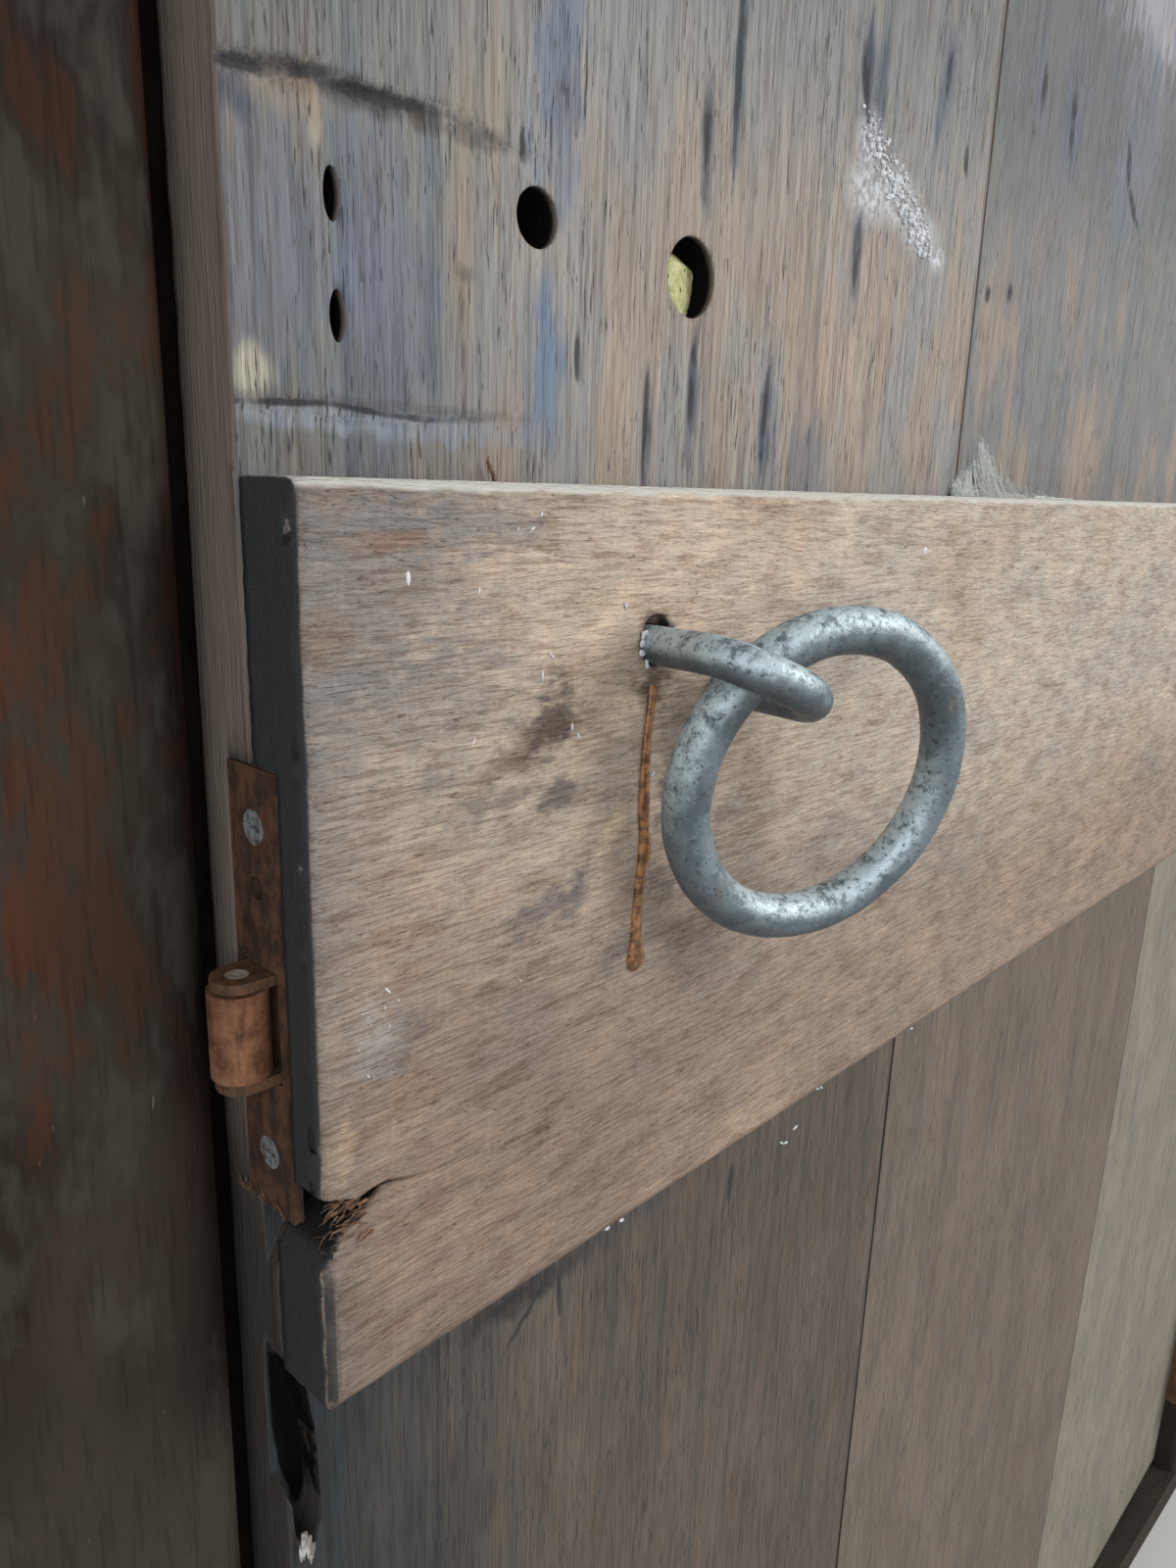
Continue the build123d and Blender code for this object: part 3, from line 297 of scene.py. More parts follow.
def weathered(shader, colour, seed):
    """Upright grain, checks and streaks over a board's colour; returns colour and height."""
    streak = shader.noise((5, 5, 120), 2, 0.6, (seed, 1, 2))
    grain = shader.noise((0.75, 0.75, 22), 2, 0.7, (seed, 5, 1))
    checks = shader.noise((0.6, 0.6, 9), 2, 0.6, (seed, 8, 4), 0.0, 0.3)
    dense = shader.noise((22, 22, 40), 1, 0.55, (seed, 4, 4))
    mask = shader.step(shader.add(checks, shader.mul(dense, 0.22)), 0.71, 0.80)
    colour = shader.tinge(colour, (0.58, 0.64, 0.74), streak, 0.5, 0.66, 0.45, "MULTIPLY")
    colour = shader.tinge(colour, (1.20, 1.04, 0.90), streak, 0.46, 0.32, 0.45, "MULTIPLY")
    colour = shader.tinge(colour, (0.45, 0.41, 0.39), grain, 0.54, 0.34, 0.6, "MULTIPLY")
    colour = shader.tinge(colour, (1.45, 1.42, 1.38), grain, 0.56, 0.72, 0.5, "MULTIPLY")
    colour = shader.mix(shader.mul(mask, 0.8), colour, (0.022, 0.020, 0.022))
    return colour, grain


def board_material(name, seed, low, high, marks=()):
    """Weathered board; on the ledged side it is greyer above the ledge and darker at the latch edge, where
    the darkening is painted shade.

    The marks are tints with their place, half sizes and strength, on the ledged side alone.
    """
    shader = Shader(name, (0.20, 0.18, 0.16))
    front = front_only(shader)
    broad = shader.noise((40, 40, 100), 2, 0.55, (seed, 0, 3))
    above = shader.mul(shader.step(shader.math("MULTIPLY_ADD", broad, 220, shader.z), -110, 150), front)
    colour = shader.mix(above, low, high)
    warm = shader.math("MAXIMUM", shader.step(shader.z, 150, 40), shader.math("SUBTRACT", 1.0, front))
    warm = shader.mul(shader.step(broad, 0.44, 0.60), shader.mul(warm, 0.8))
    colour = shader.mix(warm, colour, shader.mix(above, [c * 1.2 for c in low], (0.33, 0.27, 0.22)))
    # Painted shade: towards the latch edge the boards darken and turn bluer, more faintly on the back.
    shade = shader.step(shader.add(shader.x, shader.mul(broad, 50)), 125, 35)
    shade = shader.mul(shade, shader.math("MULTIPLY_ADD", front, 0.7, 0.3))
    latch_shade_tint = shader.mix(above, (0.25, 0.36, 0.46), (0.57, 0.62, 0.65))
    colour = shader.mix(shade, colour, latch_shade_tint, "MULTIPLY")
    upper = shader.mul(shader.step(shader.z, 75, 150), shader.mul(front, 0.65))
    colour = shader.mix(upper, colour, (0.55, 0.58, 0.62), "MULTIPLY")
    wobble = shader.wobble((5, 5, 16), 1, 0.55, (seed, 0, 2))
    marked = colour
    for tint, x, z, half_x, half_z, much in marks:
        spot = shader.spot(x, z, half_x, half_z, much, 0.55, 1.1, 0.0, wobble)
        marked = shader.mix(spot, marked, tint)
    if marks:
        colour = shader.mix(front, colour, marked)
    colour, height = weathered(shader, colour, seed)
    return shader, colour, height


# Marks: tint, x and z of the middle, half width, half height and strength
BOARD_TINTS = [
    ((0.13, 0.19, 0.27), 81.5, 28, 5.0, 17, 0.85),
    ((0.14, 0.18, 0.25), 84, 90, 8, 26, 0.75),
    ((0.15, 0.17, 0.21), 9, 42, 20, 22, 0.6),
    ((0.15, 0.17, 0.22), 34, 40, 13, 28, 0.6),
    ((0.08, 0.09, 0.12), 3.6, 66, 3.2, 4.2, 0.8),
    # The next three marks are painted shadow under the lip of the split layer.
    ((0.06, 0.055, 0.055), 26, 71.5, 22, 2.6, 0.8),
    ((0.035, 0.033, 0.033), 34, 72.2, 10, 1.3, 0.9),
    ((0.10, 0.095, 0.09), 60, 70.5, 12, 2.0, 0.6),
    ((0.33, 0.31, 0.25), 20.6, 64.5, 1.8, 5.0, 0.7),
    ((0.28, 0.23, 0.18), 15, 68, 9, 3, 0.5),
    ((0.46, 0.43, 0.34), 4.5, 18.5, 3.8, 4.6, 0.8),
    ((0.28, 0.32, 0.37), 14, 11.2, 18, 2.4, 0.7),
    ((0.26, 0.30, 0.35), 48, 10.6, 22, 2.6, 0.6),
    ((0.10, 0.10, 0.105), 34, 14.6, 34, 1.2, 0.5),
    ((0.10, 0.09, 0.085), 57, 43.5, 2.6, 1.8, 0.55),
    ((0.08, 0.10, 0.13), 138.7, 86, 2.4, 13, 0.7),
    ((0.08, 0.11, 0.14), 150.5, 108, 2.0, 26, 0.7),
    ((0.07, 0.09, 0.13), 137.4, 26, 2.4, 15, 0.8),
    ((0.08, 0.11, 0.15), 172, 17, 3.2, 15, 0.75),
    ((0.08, 0.10, 0.13), 119, 12, 1.8, 14, 0.7),
    ((0.05, 0.06, 0.08), 213, 122, 2.8, 11, 0.9),
    ((0.07, 0.09, 0.12), 218, 116, 7.0, 16, 0.65),
    ((0.09, 0.13, 0.18), 215.3, 68, 3.6, 15, 0.85),
    ((0.09, 0.11, 0.15), 262, 128, 4.0, 18, 0.7),
    ((0.12, 0.14, 0.18), 198, 8, 10, 16, 0.55),
    ((0.42, 0.34, 0.27), 160, 18, 8, 16, 0.45),
    ((0.42, 0.34, 0.28), 214, 33, 14, 34, 0.45),
    ((0.40, 0.33, 0.27), 112, 24, 7, 20, 0.4),
    # The last two marks are painted shadow under the middle ledge.
    ((0.02, 0.02, 0.022), 82, -230, 26, 5.0, 0.75),
    ((0.05, 0.05, 0.055), 120, -226, 30, 6.0, 0.5),
]
FAR_TINTS = [
    ((0.13, 0.15, 0.19), 363, 138, 8, 22, 0.7),
    ((0.16, 0.18, 0.22), 425, 132, 12, 22, 0.65),
    ((0.20, 0.22, 0.26), 440, 160, 22, 40, 0.4),
    ((0.16, 0.17, 0.20), 334, 145, 5, 12, 0.5),
    ((0.17, 0.18, 0.20), 325, 74, 5, 8, 0.6),
    ((0.42, 0.42, 0.46), 452, 205, 60, 20, 0.6),
]
# Splashed plaster: x and z of the middle, half width and half height
PLASTER = [(217, 103, 7, 9), (219, 90, 13, 9), (236, 91, 13, 8), (253, 84, 12, 6), (266, 78, 6, 4)]


def wood_edge(shader, colour, edge_tint):
    """Gives faces that look along x a tint of their own; returns the colour and where they are."""
    side = shader.step(shader.math("ABSOLUTE", shader.facing[0]), 0.6, 0.85)
    rings = shader.noise((30, 1.3, 14), 2, 0.6, (2, 2, 2))
    tint = shader.mix(rings, [c * 0.72 for c in edge_tint], [c * 1.25 for c in edge_tint])
    return shader.mix(side, colour, tint), side


# Painted shade in the holes: x and z, half sizes, turn, and how far forward the painted shade starts
HOLE_SHADE_SPOTS = [
    (23.4, 52.9, 3.4, 7.0, 0.0, 0.0), (24.0, 30.9, 3.4, 7.0, 0.0, 0.0), (78.4, 58.1, 8.5, 8.5, 0.0, 0.0),
    (134.7, 53.5, 12.0, 12.0, 0.0, 0.0), (5.2, -231, 3.6, 27, 0.095, 3.0),
]


def make_board(name, node, seed, low, high, tints=(), cracks=(), plaster=(), hollows=()):
    """Dresses one board: its tints, plaster, painted cracks, sawn edges with painted shade at their foot, and
    painted shade in its holes.
    """
    shader, colour, height = board_material(name, seed, low, high, tints)
    ragged = shader.wobble((3.2, 3.2, 6), 2, 0.6, (3, 1, 1))
    if plaster:
        crumbs = shader.noise((2.4, 2.4, 3.0), 3, 0.7)
        patch = None
        grains = shader.add(crumbs, -0.5)
        for x, z, half_x, half_z in plaster:
            patch = shader.largest(patch, shader.spot(x, z, half_x, half_z, 1.0, 0.6, 1.0, 0.0, grains))
        patch = shader.mul(patch, front_only(shader))
        patch = shader.mul(patch, shader.fade(crumbs, 0.42, 0.62, 0.25, 0.85))
        pale = shader.mix(shader.step(crumbs, 0.3, 0.62), (0.40, 0.42, 0.45), (0.62, 0.64, 0.68))
        colour = shader.mix(patch, colour, pale)
    dark = None
    broken = shader.noise((7, 7, 12), 1, 0.55, (8, 1, 6))
    for points, half, _ in cracks:
        line = shader.crack(points, half, ragged)
        if len(points) > 2 and points[0][0] < 100:  # the long ones from the latch edge die away
            line = shader.mul(line, shader.step(shader.add(shader.x, shader.mul(broken, 50)), 102, 62))
        dark = shader.largest(dark, line)
    if dark is not None:
        dark = shader.mul(shader.mul(dark, front_only(shader)), shader.step(broken, 0.22, 0.46))
        colour = shader.mix(shader.mul(dark, 0.85), colour, (0.022, 0.022, 0.026))
    colour, side = wood_edge(shader, colour, (0.185, 0.150, 0.122))
    # Painted shade: the edge faces darken below the middle ledge.
    foot = shader.mul(side, shader.step(shader.z, -110, -175))
    colour = shader.mix(foot, colour, (0.26, 0.28, 0.31), "MULTIPLY")
    shine = 0.25
    # Painted shade: each hole's inside turns near black and loses its sheen.
    for x, z, half_x, half_z, turn, forward in hollows:
        hole_shade = shader.spot(x, z, half_x, half_z, 1.0, 0.1, 0.2, turn, ragged)
        hole_shade = shader.mul(hole_shade, shader.step(shader.y, 0.2 - forward, 3.0 - forward))
        hole_shade = shader.mul(hole_shade, shader.step(shader.x, 0.7, 1.8))
        colour = shader.mix(hole_shade, colour, (0.006, 0.006, 0.006))
        shine = shader.mul(shine, shader.math("SUBTRACT", 1.0, hole_shade))
    rough = shader.add(0.72, shader.mul(side, 0.08))
    dress(shader.finish(colour, rough, height, 0.0006, specular=shine), node)


near = [crack for crack in BOARD_CRACKS if crack[0][0][0] < BOARD_JOINT]
far = [crack for crack in BOARD_CRACKS if crack[0][0][0] >= BOARD_JOINT]
make_board(
    "board_wood_latch", "board_latch", 1, (0.100, 0.082, 0.068), (0.285, 0.28, 0.268),
    BOARD_TINTS, near, PLASTER, HOLE_SHADE_SPOTS,
)
make_board(
    "board_wood_middle", "board_middle", 14, (0.148, 0.122, 0.100), (0.20, 0.205, 0.205), FAR_TINTS, far,
)
make_board("board_wood_hinge", "board_hinge", 29, (0.225, 0.205, 0.168), (0.27, 0.255, 0.235))


# Marks: tint, x and z of the middle, half width, half height, strength and turn
LEDGE_STAINS = [
    ((0.070, 0.056, 0.048), 66, -53, 8.5, 6.5, 0.85, 0.9),
    ((0.13, 0.085, 0.07), 54, -60, 9.0, 3.5, 0.6, 0.35),
    ((0.085, 0.08, 0.08), 68, -72, 7.0, 3.5, 0.75, 0.1),
    ((0.11, 0.105, 0.10), 46, -70, 10.0, 3.2, 0.6, 0.1),
    ((0.12, 0.115, 0.115), 33, -63, 6.0, 3.0, 0.5, 0.0),
    ((0.10, 0.10, 0.105), 110, -81, 3.6, 7.5, 0.7, 0.0),
    ((0.10, 0.10, 0.105), 110, -104, 5.0, 4.5, 0.55, 0.3),
    ((0.12, 0.11, 0.105), 136, -90, 5.5, 3.0, 0.5, 0.2),
    ((0.09, 0.095, 0.105), 78, -97, 10.0, 3.5, 0.7, 0.6),
    ((0.10, 0.10, 0.11), 62, -100, 9.0, 3.5, 0.55, 0.4),
    ((0.095, 0.095, 0.10), 92, -118, 7.0, 4.0, 0.5, 0.5),
    ((0.10, 0.10, 0.105), 20, -120, 10.0, 7.0, 0.45, 0.5),
    ((0.13, 0.115, 0.10), 112, -60, 6.0, 12.0, 0.35, 0.0),
    ((0.19, 0.19, 0.19), 15, -22, 22.0, 20.0, 0.55, 0.0),
    ((0.17, 0.18, 0.19), 32, -8, 28.0, 6.0, 0.55, 0.0),
    ((0.20, 0.195, 0.19), 30, -44, 26.0, 12.0, 0.5, 0.1),
    ((0.66, 0.51, 0.36), 88, -84, 3.0, 5.6, 0.95, -0.5),
    ((0.56, 0.45, 0.34), 83, -95, 3.2, 5.5, 0.6, -0.6),
    ((0.60, 0.47, 0.34), 86, -27, 7.0, 1.6, 0.7, 0.05),
    ((0.60, 0.46, 0.32), 92, -50, 6.5, 1.2, 0.7, 0.2),
    ((0.50, 0.36, 0.25), 6, -139, 2.0, 7.0, 0.6, 0.0),
    ((0.42, 0.44, 0.44), 15, -116, 6, 9, 0.35, 0.2),
    ((0.045, 0.032, 0.024), 99.5, -48.5, 5.0, 3.2, 0.85, 0.2),
    ((0.05, 0.04, 0.032), 102, -34, 6.0, 3.0, 0.75, 0.0),
    ((0.46, 0.38, 0.30), 88, -18, 10.0, 2.5, 0.6, 0.05),
    ((0.44, 0.36, 0.28), 76, -27, 14.0, 6.0, 0.5, 0.6),
    ((0.40, 0.33, 0.27), 93, -40, 8.0, 8.0, 0.55, 0.3),
    ((0.24, 0.14, 0.09), 21, -12, 9.0, 1.8, 0.7, 0.05),
    ((0.22, 0.15, 0.10), 6, -30, 7.0, 4.0, 0.5, 0.3),
    ((0.12, 0.085, 0.06), 104, -44, 4.5, 9.0, 0.6, 0.0),
    ((0.33, 0.25, 0.18), 3, -140, 3.0, 9.0, 0.55, 0.0),
]


def ledge_material(name, top, stains=()):
    """Ledge wood: short rippled grain along x, with stains and chips, painted light and shade across its
    face, a painted highlight along its top arris, and painted shade on its end faces and in its break.
    """
    shader = Shader(name, (0.38, 0.32, 0.26))
    broad = shader.noise((75, 60, 45), 2, 0.55, (0, 2, top / 100))
    blotch = shader.noise((16, 9, 7), 2, 0.6, (5, 2, top / 70), radians(12))
    grain = shader.noise((11, 1.4, 0.85), 3, 0.65, (7, 2, top / 90), radians(3.5), 0.9)
    fine = shader.noise((2.6, 0.45, 0.34), 2, 0.6, (4, 4, 4), radians(4), 0.6)
    cross = shader.noise((0.9, 0.9, 9), 1, 0.6, (6, 1, 9), radians(-38))
    # Painted light and shade: lighter from the latch end towards the hinge side, darker towards the lower
    # edge, and a painted pool of light around the staple.
    base = shader.mix(shader.step(shader.x, -20, 240), (0.275, 0.215, 0.178), (0.47, 0.415, 0.35))
    base = shader.tinge(base, (0.24, 0.172, 0.13), shader.z, top - 70, top - 170, 0.75)
    painted_light_pool = shader.spot(98, top - 34, 75, 44, 0.7, 0.2, 1.6, 0.35, shader.add(broad, -0.5))
    base = shader.mix(painted_light_pool, base, (0.66, 0.53, 0.41))
    cool = shader.mul(shader.step(broad, 0.50, 0.36), 0.5)
    colour = shader.mix(cool, base, (0.74, 0.80, 0.88), "MULTIPLY")
    colour = shader.tinge(colour, (0.40, 0.30, 0.225), broad, 0.52, 0.68, 0.45)
    near_end = shader.mul(shader.step(shader.add(shader.x, shader.mul(blotch, 22)), 30, 12), 0.7)
    colour = shader.mix(near_end, colour, (0.70, 0.80, 0.90), "MULTIPLY")
    colour = shader.tinge(colour, (0.70, 0.60, 0.53), blotch, 0.50, 0.64, 0.42, "MULTIPLY")
    colour = shader.tinge(colour, (1.38, 1.27, 1.16), blotch, 0.47, 0.34, 0.35, "MULTIPLY")
    wobble = shader.wobble((6, 6, 3.2), 2, 0.65, (2, 0, 6))
    for tint, x, z, half_x, half_z, much, turn in stains:
        spot = shader.spot(x, z, half_x, half_z, much, 0.7, 1.3, turn, wobble)
        colour = shader.mix(spot, colour, tint)
    colour = shader.tinge(colour, (0.50, 0.41, 0.35), grain, 0.52, 0.36, 0.62, "MULTIPLY")
    colour = shader.tinge(colour, (1.36, 1.30, 1.22), grain, 0.54, 0.68, 0.6, "MULTIPLY")
    colour = shader.tinge(colour, (0.56, 0.51, 0.48), fine, 0.5, 0.34, 0.45, "MULTIPLY")
    colour = shader.tinge(colour, (1.28, 1.27, 1.25), cross, 0.54, 0.68, 0.3, "MULTIPLY")
    flecks = shader.noise((2.4, 0.6, 0.55), 2, 0.55, (9, 3, 1), radians(5), 0.4)
    flecks = shader.step(shader.add(flecks, shader.mul(blotch, 0.25)), 0.77, 0.84)
    colour = shader.mix(shader.mul(flecks, 0.65), colour, (0.26, 0.20, 0.17), "MULTIPLY")
    # Painted highlight: a pale ragged line along the top arris.
    dusty = shader.noise((8, 3, 3), 1, 0.6)
    arris_highlight = shader.step(shader.add(shader.z, shader.mul(dusty, 2.0)), top - 1.4, top - 0.2)
    colour = shader.mix(shader.mul(arris_highlight, 0.85), colour, (0.60, 0.60, 0.55))
    # End faces: end grain, darkened much further by painted shade.
    colour, _ = wood_edge(shader, colour, (0.040, 0.041, 0.042))
    # Painted shade: the inside of the break near the latch end turns near black.
    break_shade = shader.mul(shader.spot(6, top - 158, 15, 8), shader.step(shader.y, -18.5, -15.5))
    colour = shader.mix(break_shade, colour, (0.008, 0.007, 0.007))
    height = shader.add(shader.mul(grain, 0.7), shader.mul(fine, 0.35))
    return shader.finish(colour, 0.7, height, 0.0007, specular=0.25)


dress(ledge_material("ledge_wood_middle", 0, LEDGE_STAINS), "ledge_middle")
dress(ledge_material("ledge_wood_upper", UPPER_LEDGE), "ledge_upper")


def varnished(name, sizes, turn=0.0):
    """Old dark varnish, worn through in places; sizes and turn give the way of the grain."""
    shader = Shader(name, (0.035, 0.026, 0.020))
    grain = shader.noise(sizes, 2, 0.6, (1, 4, 2), turn)
    broad = shader.noise((60, 60, 110), 2, 0.6, (3, 5, 1), turn)
    patches = shader.noise((14, 14, 34), 3, 0.68, (8, 2, 5), turn)
    colour = shader.mix(shader.step(broad, 0.38, 0.62), (0.019, 0.013, 0.010), (0.038, 0.030, 0.023))
    low = shader.mul(shader.step(shader.z, -150, -330), 0.55)
    pale = shader.math("MAXIMUM", shader.mul(shader.step(patches, 0.50, 0.36), 0.6), low)
    colour = shader.mix(pale, colour, (0.050, 0.045, 0.036))
    far_side = shader.add(0.3, shader.mul(shader.step(shader.x, -25, -60), 0.7))
    far_side = shader.mul(far_side, shader.step(shader.z, -190, -80))
    red = shader.mul(shader.mul(shader.step(patches, 0.49, 0.58), 0.8), far_side)
    colour = shader.mix(red, colour, (0.075, 0.022, 0.010))
    colour = shader.tinge(colour, (0.4, 0.37, 0.35), grain, 0.5, 0.3, 0.4, "MULTIPLY")
    scuffs = shader.noise((1.6, 1.6, 9), 2, 0.6, (5, 5, 5), 0.2)
    colour = shader.tinge(colour, (0.20, 0.17, 0.14), scuffs, 0.72, 0.78, 0.4)
    height = shader.add(shader.mul(grain, 0.5), shader.mul(patches, 0.6))
    return shader.finish(colour, shader.add(0.5, shader.mul(broad, 0.3)), height, 0.0004, specular=0.06)


ACROSS, ALONG = 1.4, 22    # the grain's size across and along the wood, mm
dress(varnished("frame_wood_upright", (ACROSS, ACROSS, ALONG)), "jamb_latch", "jamb_hinge", "frame_pegs")
dress(varnished("frame_wood_level", (ALONG, ACROSS, ACROSS)), "sill", "crown_key")
dress(varnished("frame_wood_arch_latch", (ACROSS, ACROSS, ALONG), radians(45)), "arch_latch")
dress(varnished("frame_wood_arch_hinge", (ACROSS, ACROSS, ALONG), radians(-45)), "arch_hinge")


def iron_material(name):
    """Forged iron, worn blue-grey, with pale dust and a painted highlight where it faces up, and painted
    shade where it faces down.
    """
    shader = Shader(name, (0.16, 0.19, 0.21))
    cloud = shader.noise((10, 10, 10), 3, 0.6)
    pits = shader.noise((1.5, 1.5, 1.5), 2, 0.6, (4, 4, 4))
    scale = shader.noise((3.2, 3.2, 3.2), 3, 0.65, (1, 7, 3))
    colour = shader.mix(shader.step(cloud, 0.36, 0.64), (0.095, 0.128, 0.145), (0.185, 0.235, 0.26))
    colour = shader.tinge(colour, (0.34, 0.38, 0.40), scale, 0.56, 0.72, 0.4)
    rust = shader.noise((11, 11, 11), 3, 0.6, (9, 3, 6))
    colour = shader.tinge(colour, (0.20, 0.15, 0.115), rust, 0.60, 0.70, 0.4)
    # Painted shade where the iron faces down.
    underside_shade = shader.step(shader.facing[2], 0.1, -0.7)
    colour = shader.mix(shader.mul(underside_shade, 0.7), colour, (0.045, 0.055, 0.065))
    # Dust and painted highlight: pale patches where the iron faces up and a little towards the latch side.
    up = shader.add(shader.mul(shader.facing[2], 0.8), shader.mul(shader.facing[0], -0.35))
    dust = shader.mul(shader.step(up, 0.0, 0.6), shader.step(scale, 0.32, 0.55))
    colour = shader.mix(shader.mul(dust, 0.8), colour, (0.60, 0.72, 0.76))
    colour = shader.tinge(colour, (0.045, 0.047, 0.05), pits, 0.60, 0.69, 0.75)
    height = shader.add(shader.mul(pits, -0.4), shader.mul(scale, 0.5))
    roughness = shader.add(0.36, shader.mul(cloud, 0.2))
    return shader.finish(colour, roughness, height, 0.0007, metallic=0.3, specular=0.5)


dress(iron_material("forged_iron"), "pull_ring", "ring_staple", "ledge_nails")


def rust_material(name, base, bright, seed):
    """Steel under an uneven coat of rust."""
    shader = Shader(name, base)
    cloud = shader.noise((7, 7, 7), 4, 0.65, (seed, 2, 2))
    grit = shader.noise((0.9, 0.9, 0.9), 3, 0.6, (seed, 1, 7))
    drips = shader.noise((2.4, 2.4, 14), 2, 0.6, (seed, 6, 3))
    colour = shader.mix(shader.step(cloud, 0.36, 0.64), base, bright)
    colour = shader.tinge(colour, [c * 0.4 for c in base], drips, 0.52, 0.66, 0.55)
    colour = shader.tinge(colour, [min(1.0, c * 1.5) for c in bright], grit, 0.58, 0.74, 0.45)
    height = shader.add(shader.mul(cloud, 0.6), shader.mul(grit, 0.4))
    return shader.finish(colour, 0.82, height, 0.0005, metallic=0.1, specular=0.3)


dress(
    rust_material("rust_dark", (0.040, 0.026, 0.019), (0.125, 0.058, 0.032), 3), "catch_plate", "catch_case",
    "catch_adjuster",
)
dress(rust_material("rust_orange", (0.125, 0.052, 0.026), (0.26, 0.12, 0.062), 11), "catch_roller")
dress(
    rust_material("rust_brown", (0.075, 0.042, 0.027), (0.15, 0.075, 0.038), 21), "catch_spring",
    "catch_carriage", "strike_plate", "hinge_frame_wings", "hinge_pins", "hinge_leaf_wings",
)


def mottled(name, average, tints, size, edges, detail, roughness, relief, metallic=0.0, specular=0.3):
    """Two tints in soft patches; size is that of a patch, in millimetres."""
    shader = Shader(name, average)
    cloud = shader.noise((size, size, size), detail, 0.6)
    colour = shader.mix(shader.step(cloud, *edges), *tints)
    return shader.finish(colour, roughness, cloud, relief, metallic, specular)


# Bare worn steel with rust in its hollows
worn = mottled(
    "worn_steel", (0.26, 0.25, 0.24), ((0.36, 0.40, 0.41), (0.16, 0.11, 0.075)), 2.2, (0.42, 0.66), 4, 0.5,
    0.0003, 0.5, 0.5,
)
dress(worn, "catch_screws", "strike_screws", "hinge_washers", "hinge_frame_screws", "hinge_leaf_screws")
# A thick pale coat of dust and plaster on the roller's pin
dusty = mottled(
    "dusty_steel", (0.34, 0.27, 0.21), ((0.42, 0.37, 0.32), (0.26, 0.16, 0.10)), 3, (0.4, 0.66), 4, 0.85,
    0.0004, specular=0.25,
)
dress(dusty, "roller_pin")


def filler_material(name):
    """Old yellow-green filler with small round pores."""
    shader = Shader(name, (0.44, 0.44, 0.22))
    crumbs = shader.noise((2.2, 2.2, 2.2), 4, 0.62)
    holes = shader.cells((4, 4, 4), (2, 1, 3))
    colour = shader.mix(shader.step(crumbs, 0.35, 0.65), (0.34, 0.35, 0.15), (0.55, 0.54, 0.30))
    colour = shader.mix(shader.step(holes, 0.22, 0.14), colour, (0.09, 0.09, 0.045))
    return shader.finish(colour, 0.85, crumbs, 0.0006, specular=0.25)


dress(filler_material("filler"), "hole_filler")


# Relief: copies of CAD nodes, cut finely and worn by functions of the place on the leaf
def steps(*stretches):
    """Places of the cuts: each stretch gives where it starts, where it ends and the step."""
    places = []
    for start, end, step in stretches:
        count = round((end - start) / step)
        places += [start + step * index for index in range(count)]
    return places


def rough(x, y, z, seed=0.0):
    """Smooth noise between -1 and 1."""
    return noise.noise(Vector((x + seed, y + 31.7, z - seed)))


def hump(far, wide):
    """1 where far is 0, falling away smoothly within about wide."""
    return exp(-((far / wide) ** 2))


def share(value):
    """The value, kept between 0 and 1."""
    return max(0.0, min(1.0, value))


def near_line(points, x, z):
    """Distance to a line of points, and how far along it the nearest place is, 0 to 1."""
    best, where = 1e9, 0.0
    for index, ((x0, z0), (x1, z1)) in enumerate(zip(points, points[1:])):
        dx, dz = x1 - x0, z1 - z0
        along = min(1.0, max(0.0, ((x - x0) * dx + (z - z0) * dz) / (dx * dx + dz * dz)))
        far = hypot(x - x0 - along * dx, z - z0 - along * dz)
        if far < best:
            best, where = far, (index + along) / (len(points) - 1)
    return best, where


def new_object(mesh, name, material, sharp):
    """An object with the mesh, smooth but for edges that turn by more than sharp degrees."""
    data = bpy.data.meshes.new(name)
    mesh.to_mesh(data)
    mesh.free()
    data.shade_smooth()
    data.set_sharp_from_angle(angle=radians(sharp))
    data.materials.append(material)
    piece = bpy.data.objects.new(name, data)
    bpy.context.scene.collection.objects.link(piece)
    return piece


def relief(node, name, cuts, move, body, slot):
    """A copy of a CAD node, cut at places along x, y and z, its points moved by a function."""
    mesh = bmesh.new()
    mesh.from_mesh(nodes[node].data)
    mesh.transform(leaf_matrix.inverted())
    bmesh.ops.remove_doubles(mesh, verts=mesh.verts, dist=0.0005)
    bmesh.ops.dissolve_limit(mesh, angle_limit=radians(0.4), verts=mesh.verts, edges=mesh.edges)
    for normal, places in zip(Matrix.Identity(3), cuts):
        for place in places:
            bmesh.ops.bisect_plane(
                mesh, geom=mesh.verts[:] + mesh.edges[:] + mesh.faces[:], dist=0.001,
                plane_co=normal * place, plane_no=normal,
            )
    for point in mesh.verts:
        point.co = move(*point.co)
    bmesh.ops.triangulate(mesh, faces=mesh.faces[:])
    mesh.transform(leaf_matrix)
    bmesh.ops.dissolve_degenerate(mesh, dist=1e-6, edges=mesh.edges)
    piece = new_object(mesh, name, nodes[node].data.materials[0], 38)
    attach(piece, body)
    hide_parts(node)
    return piece


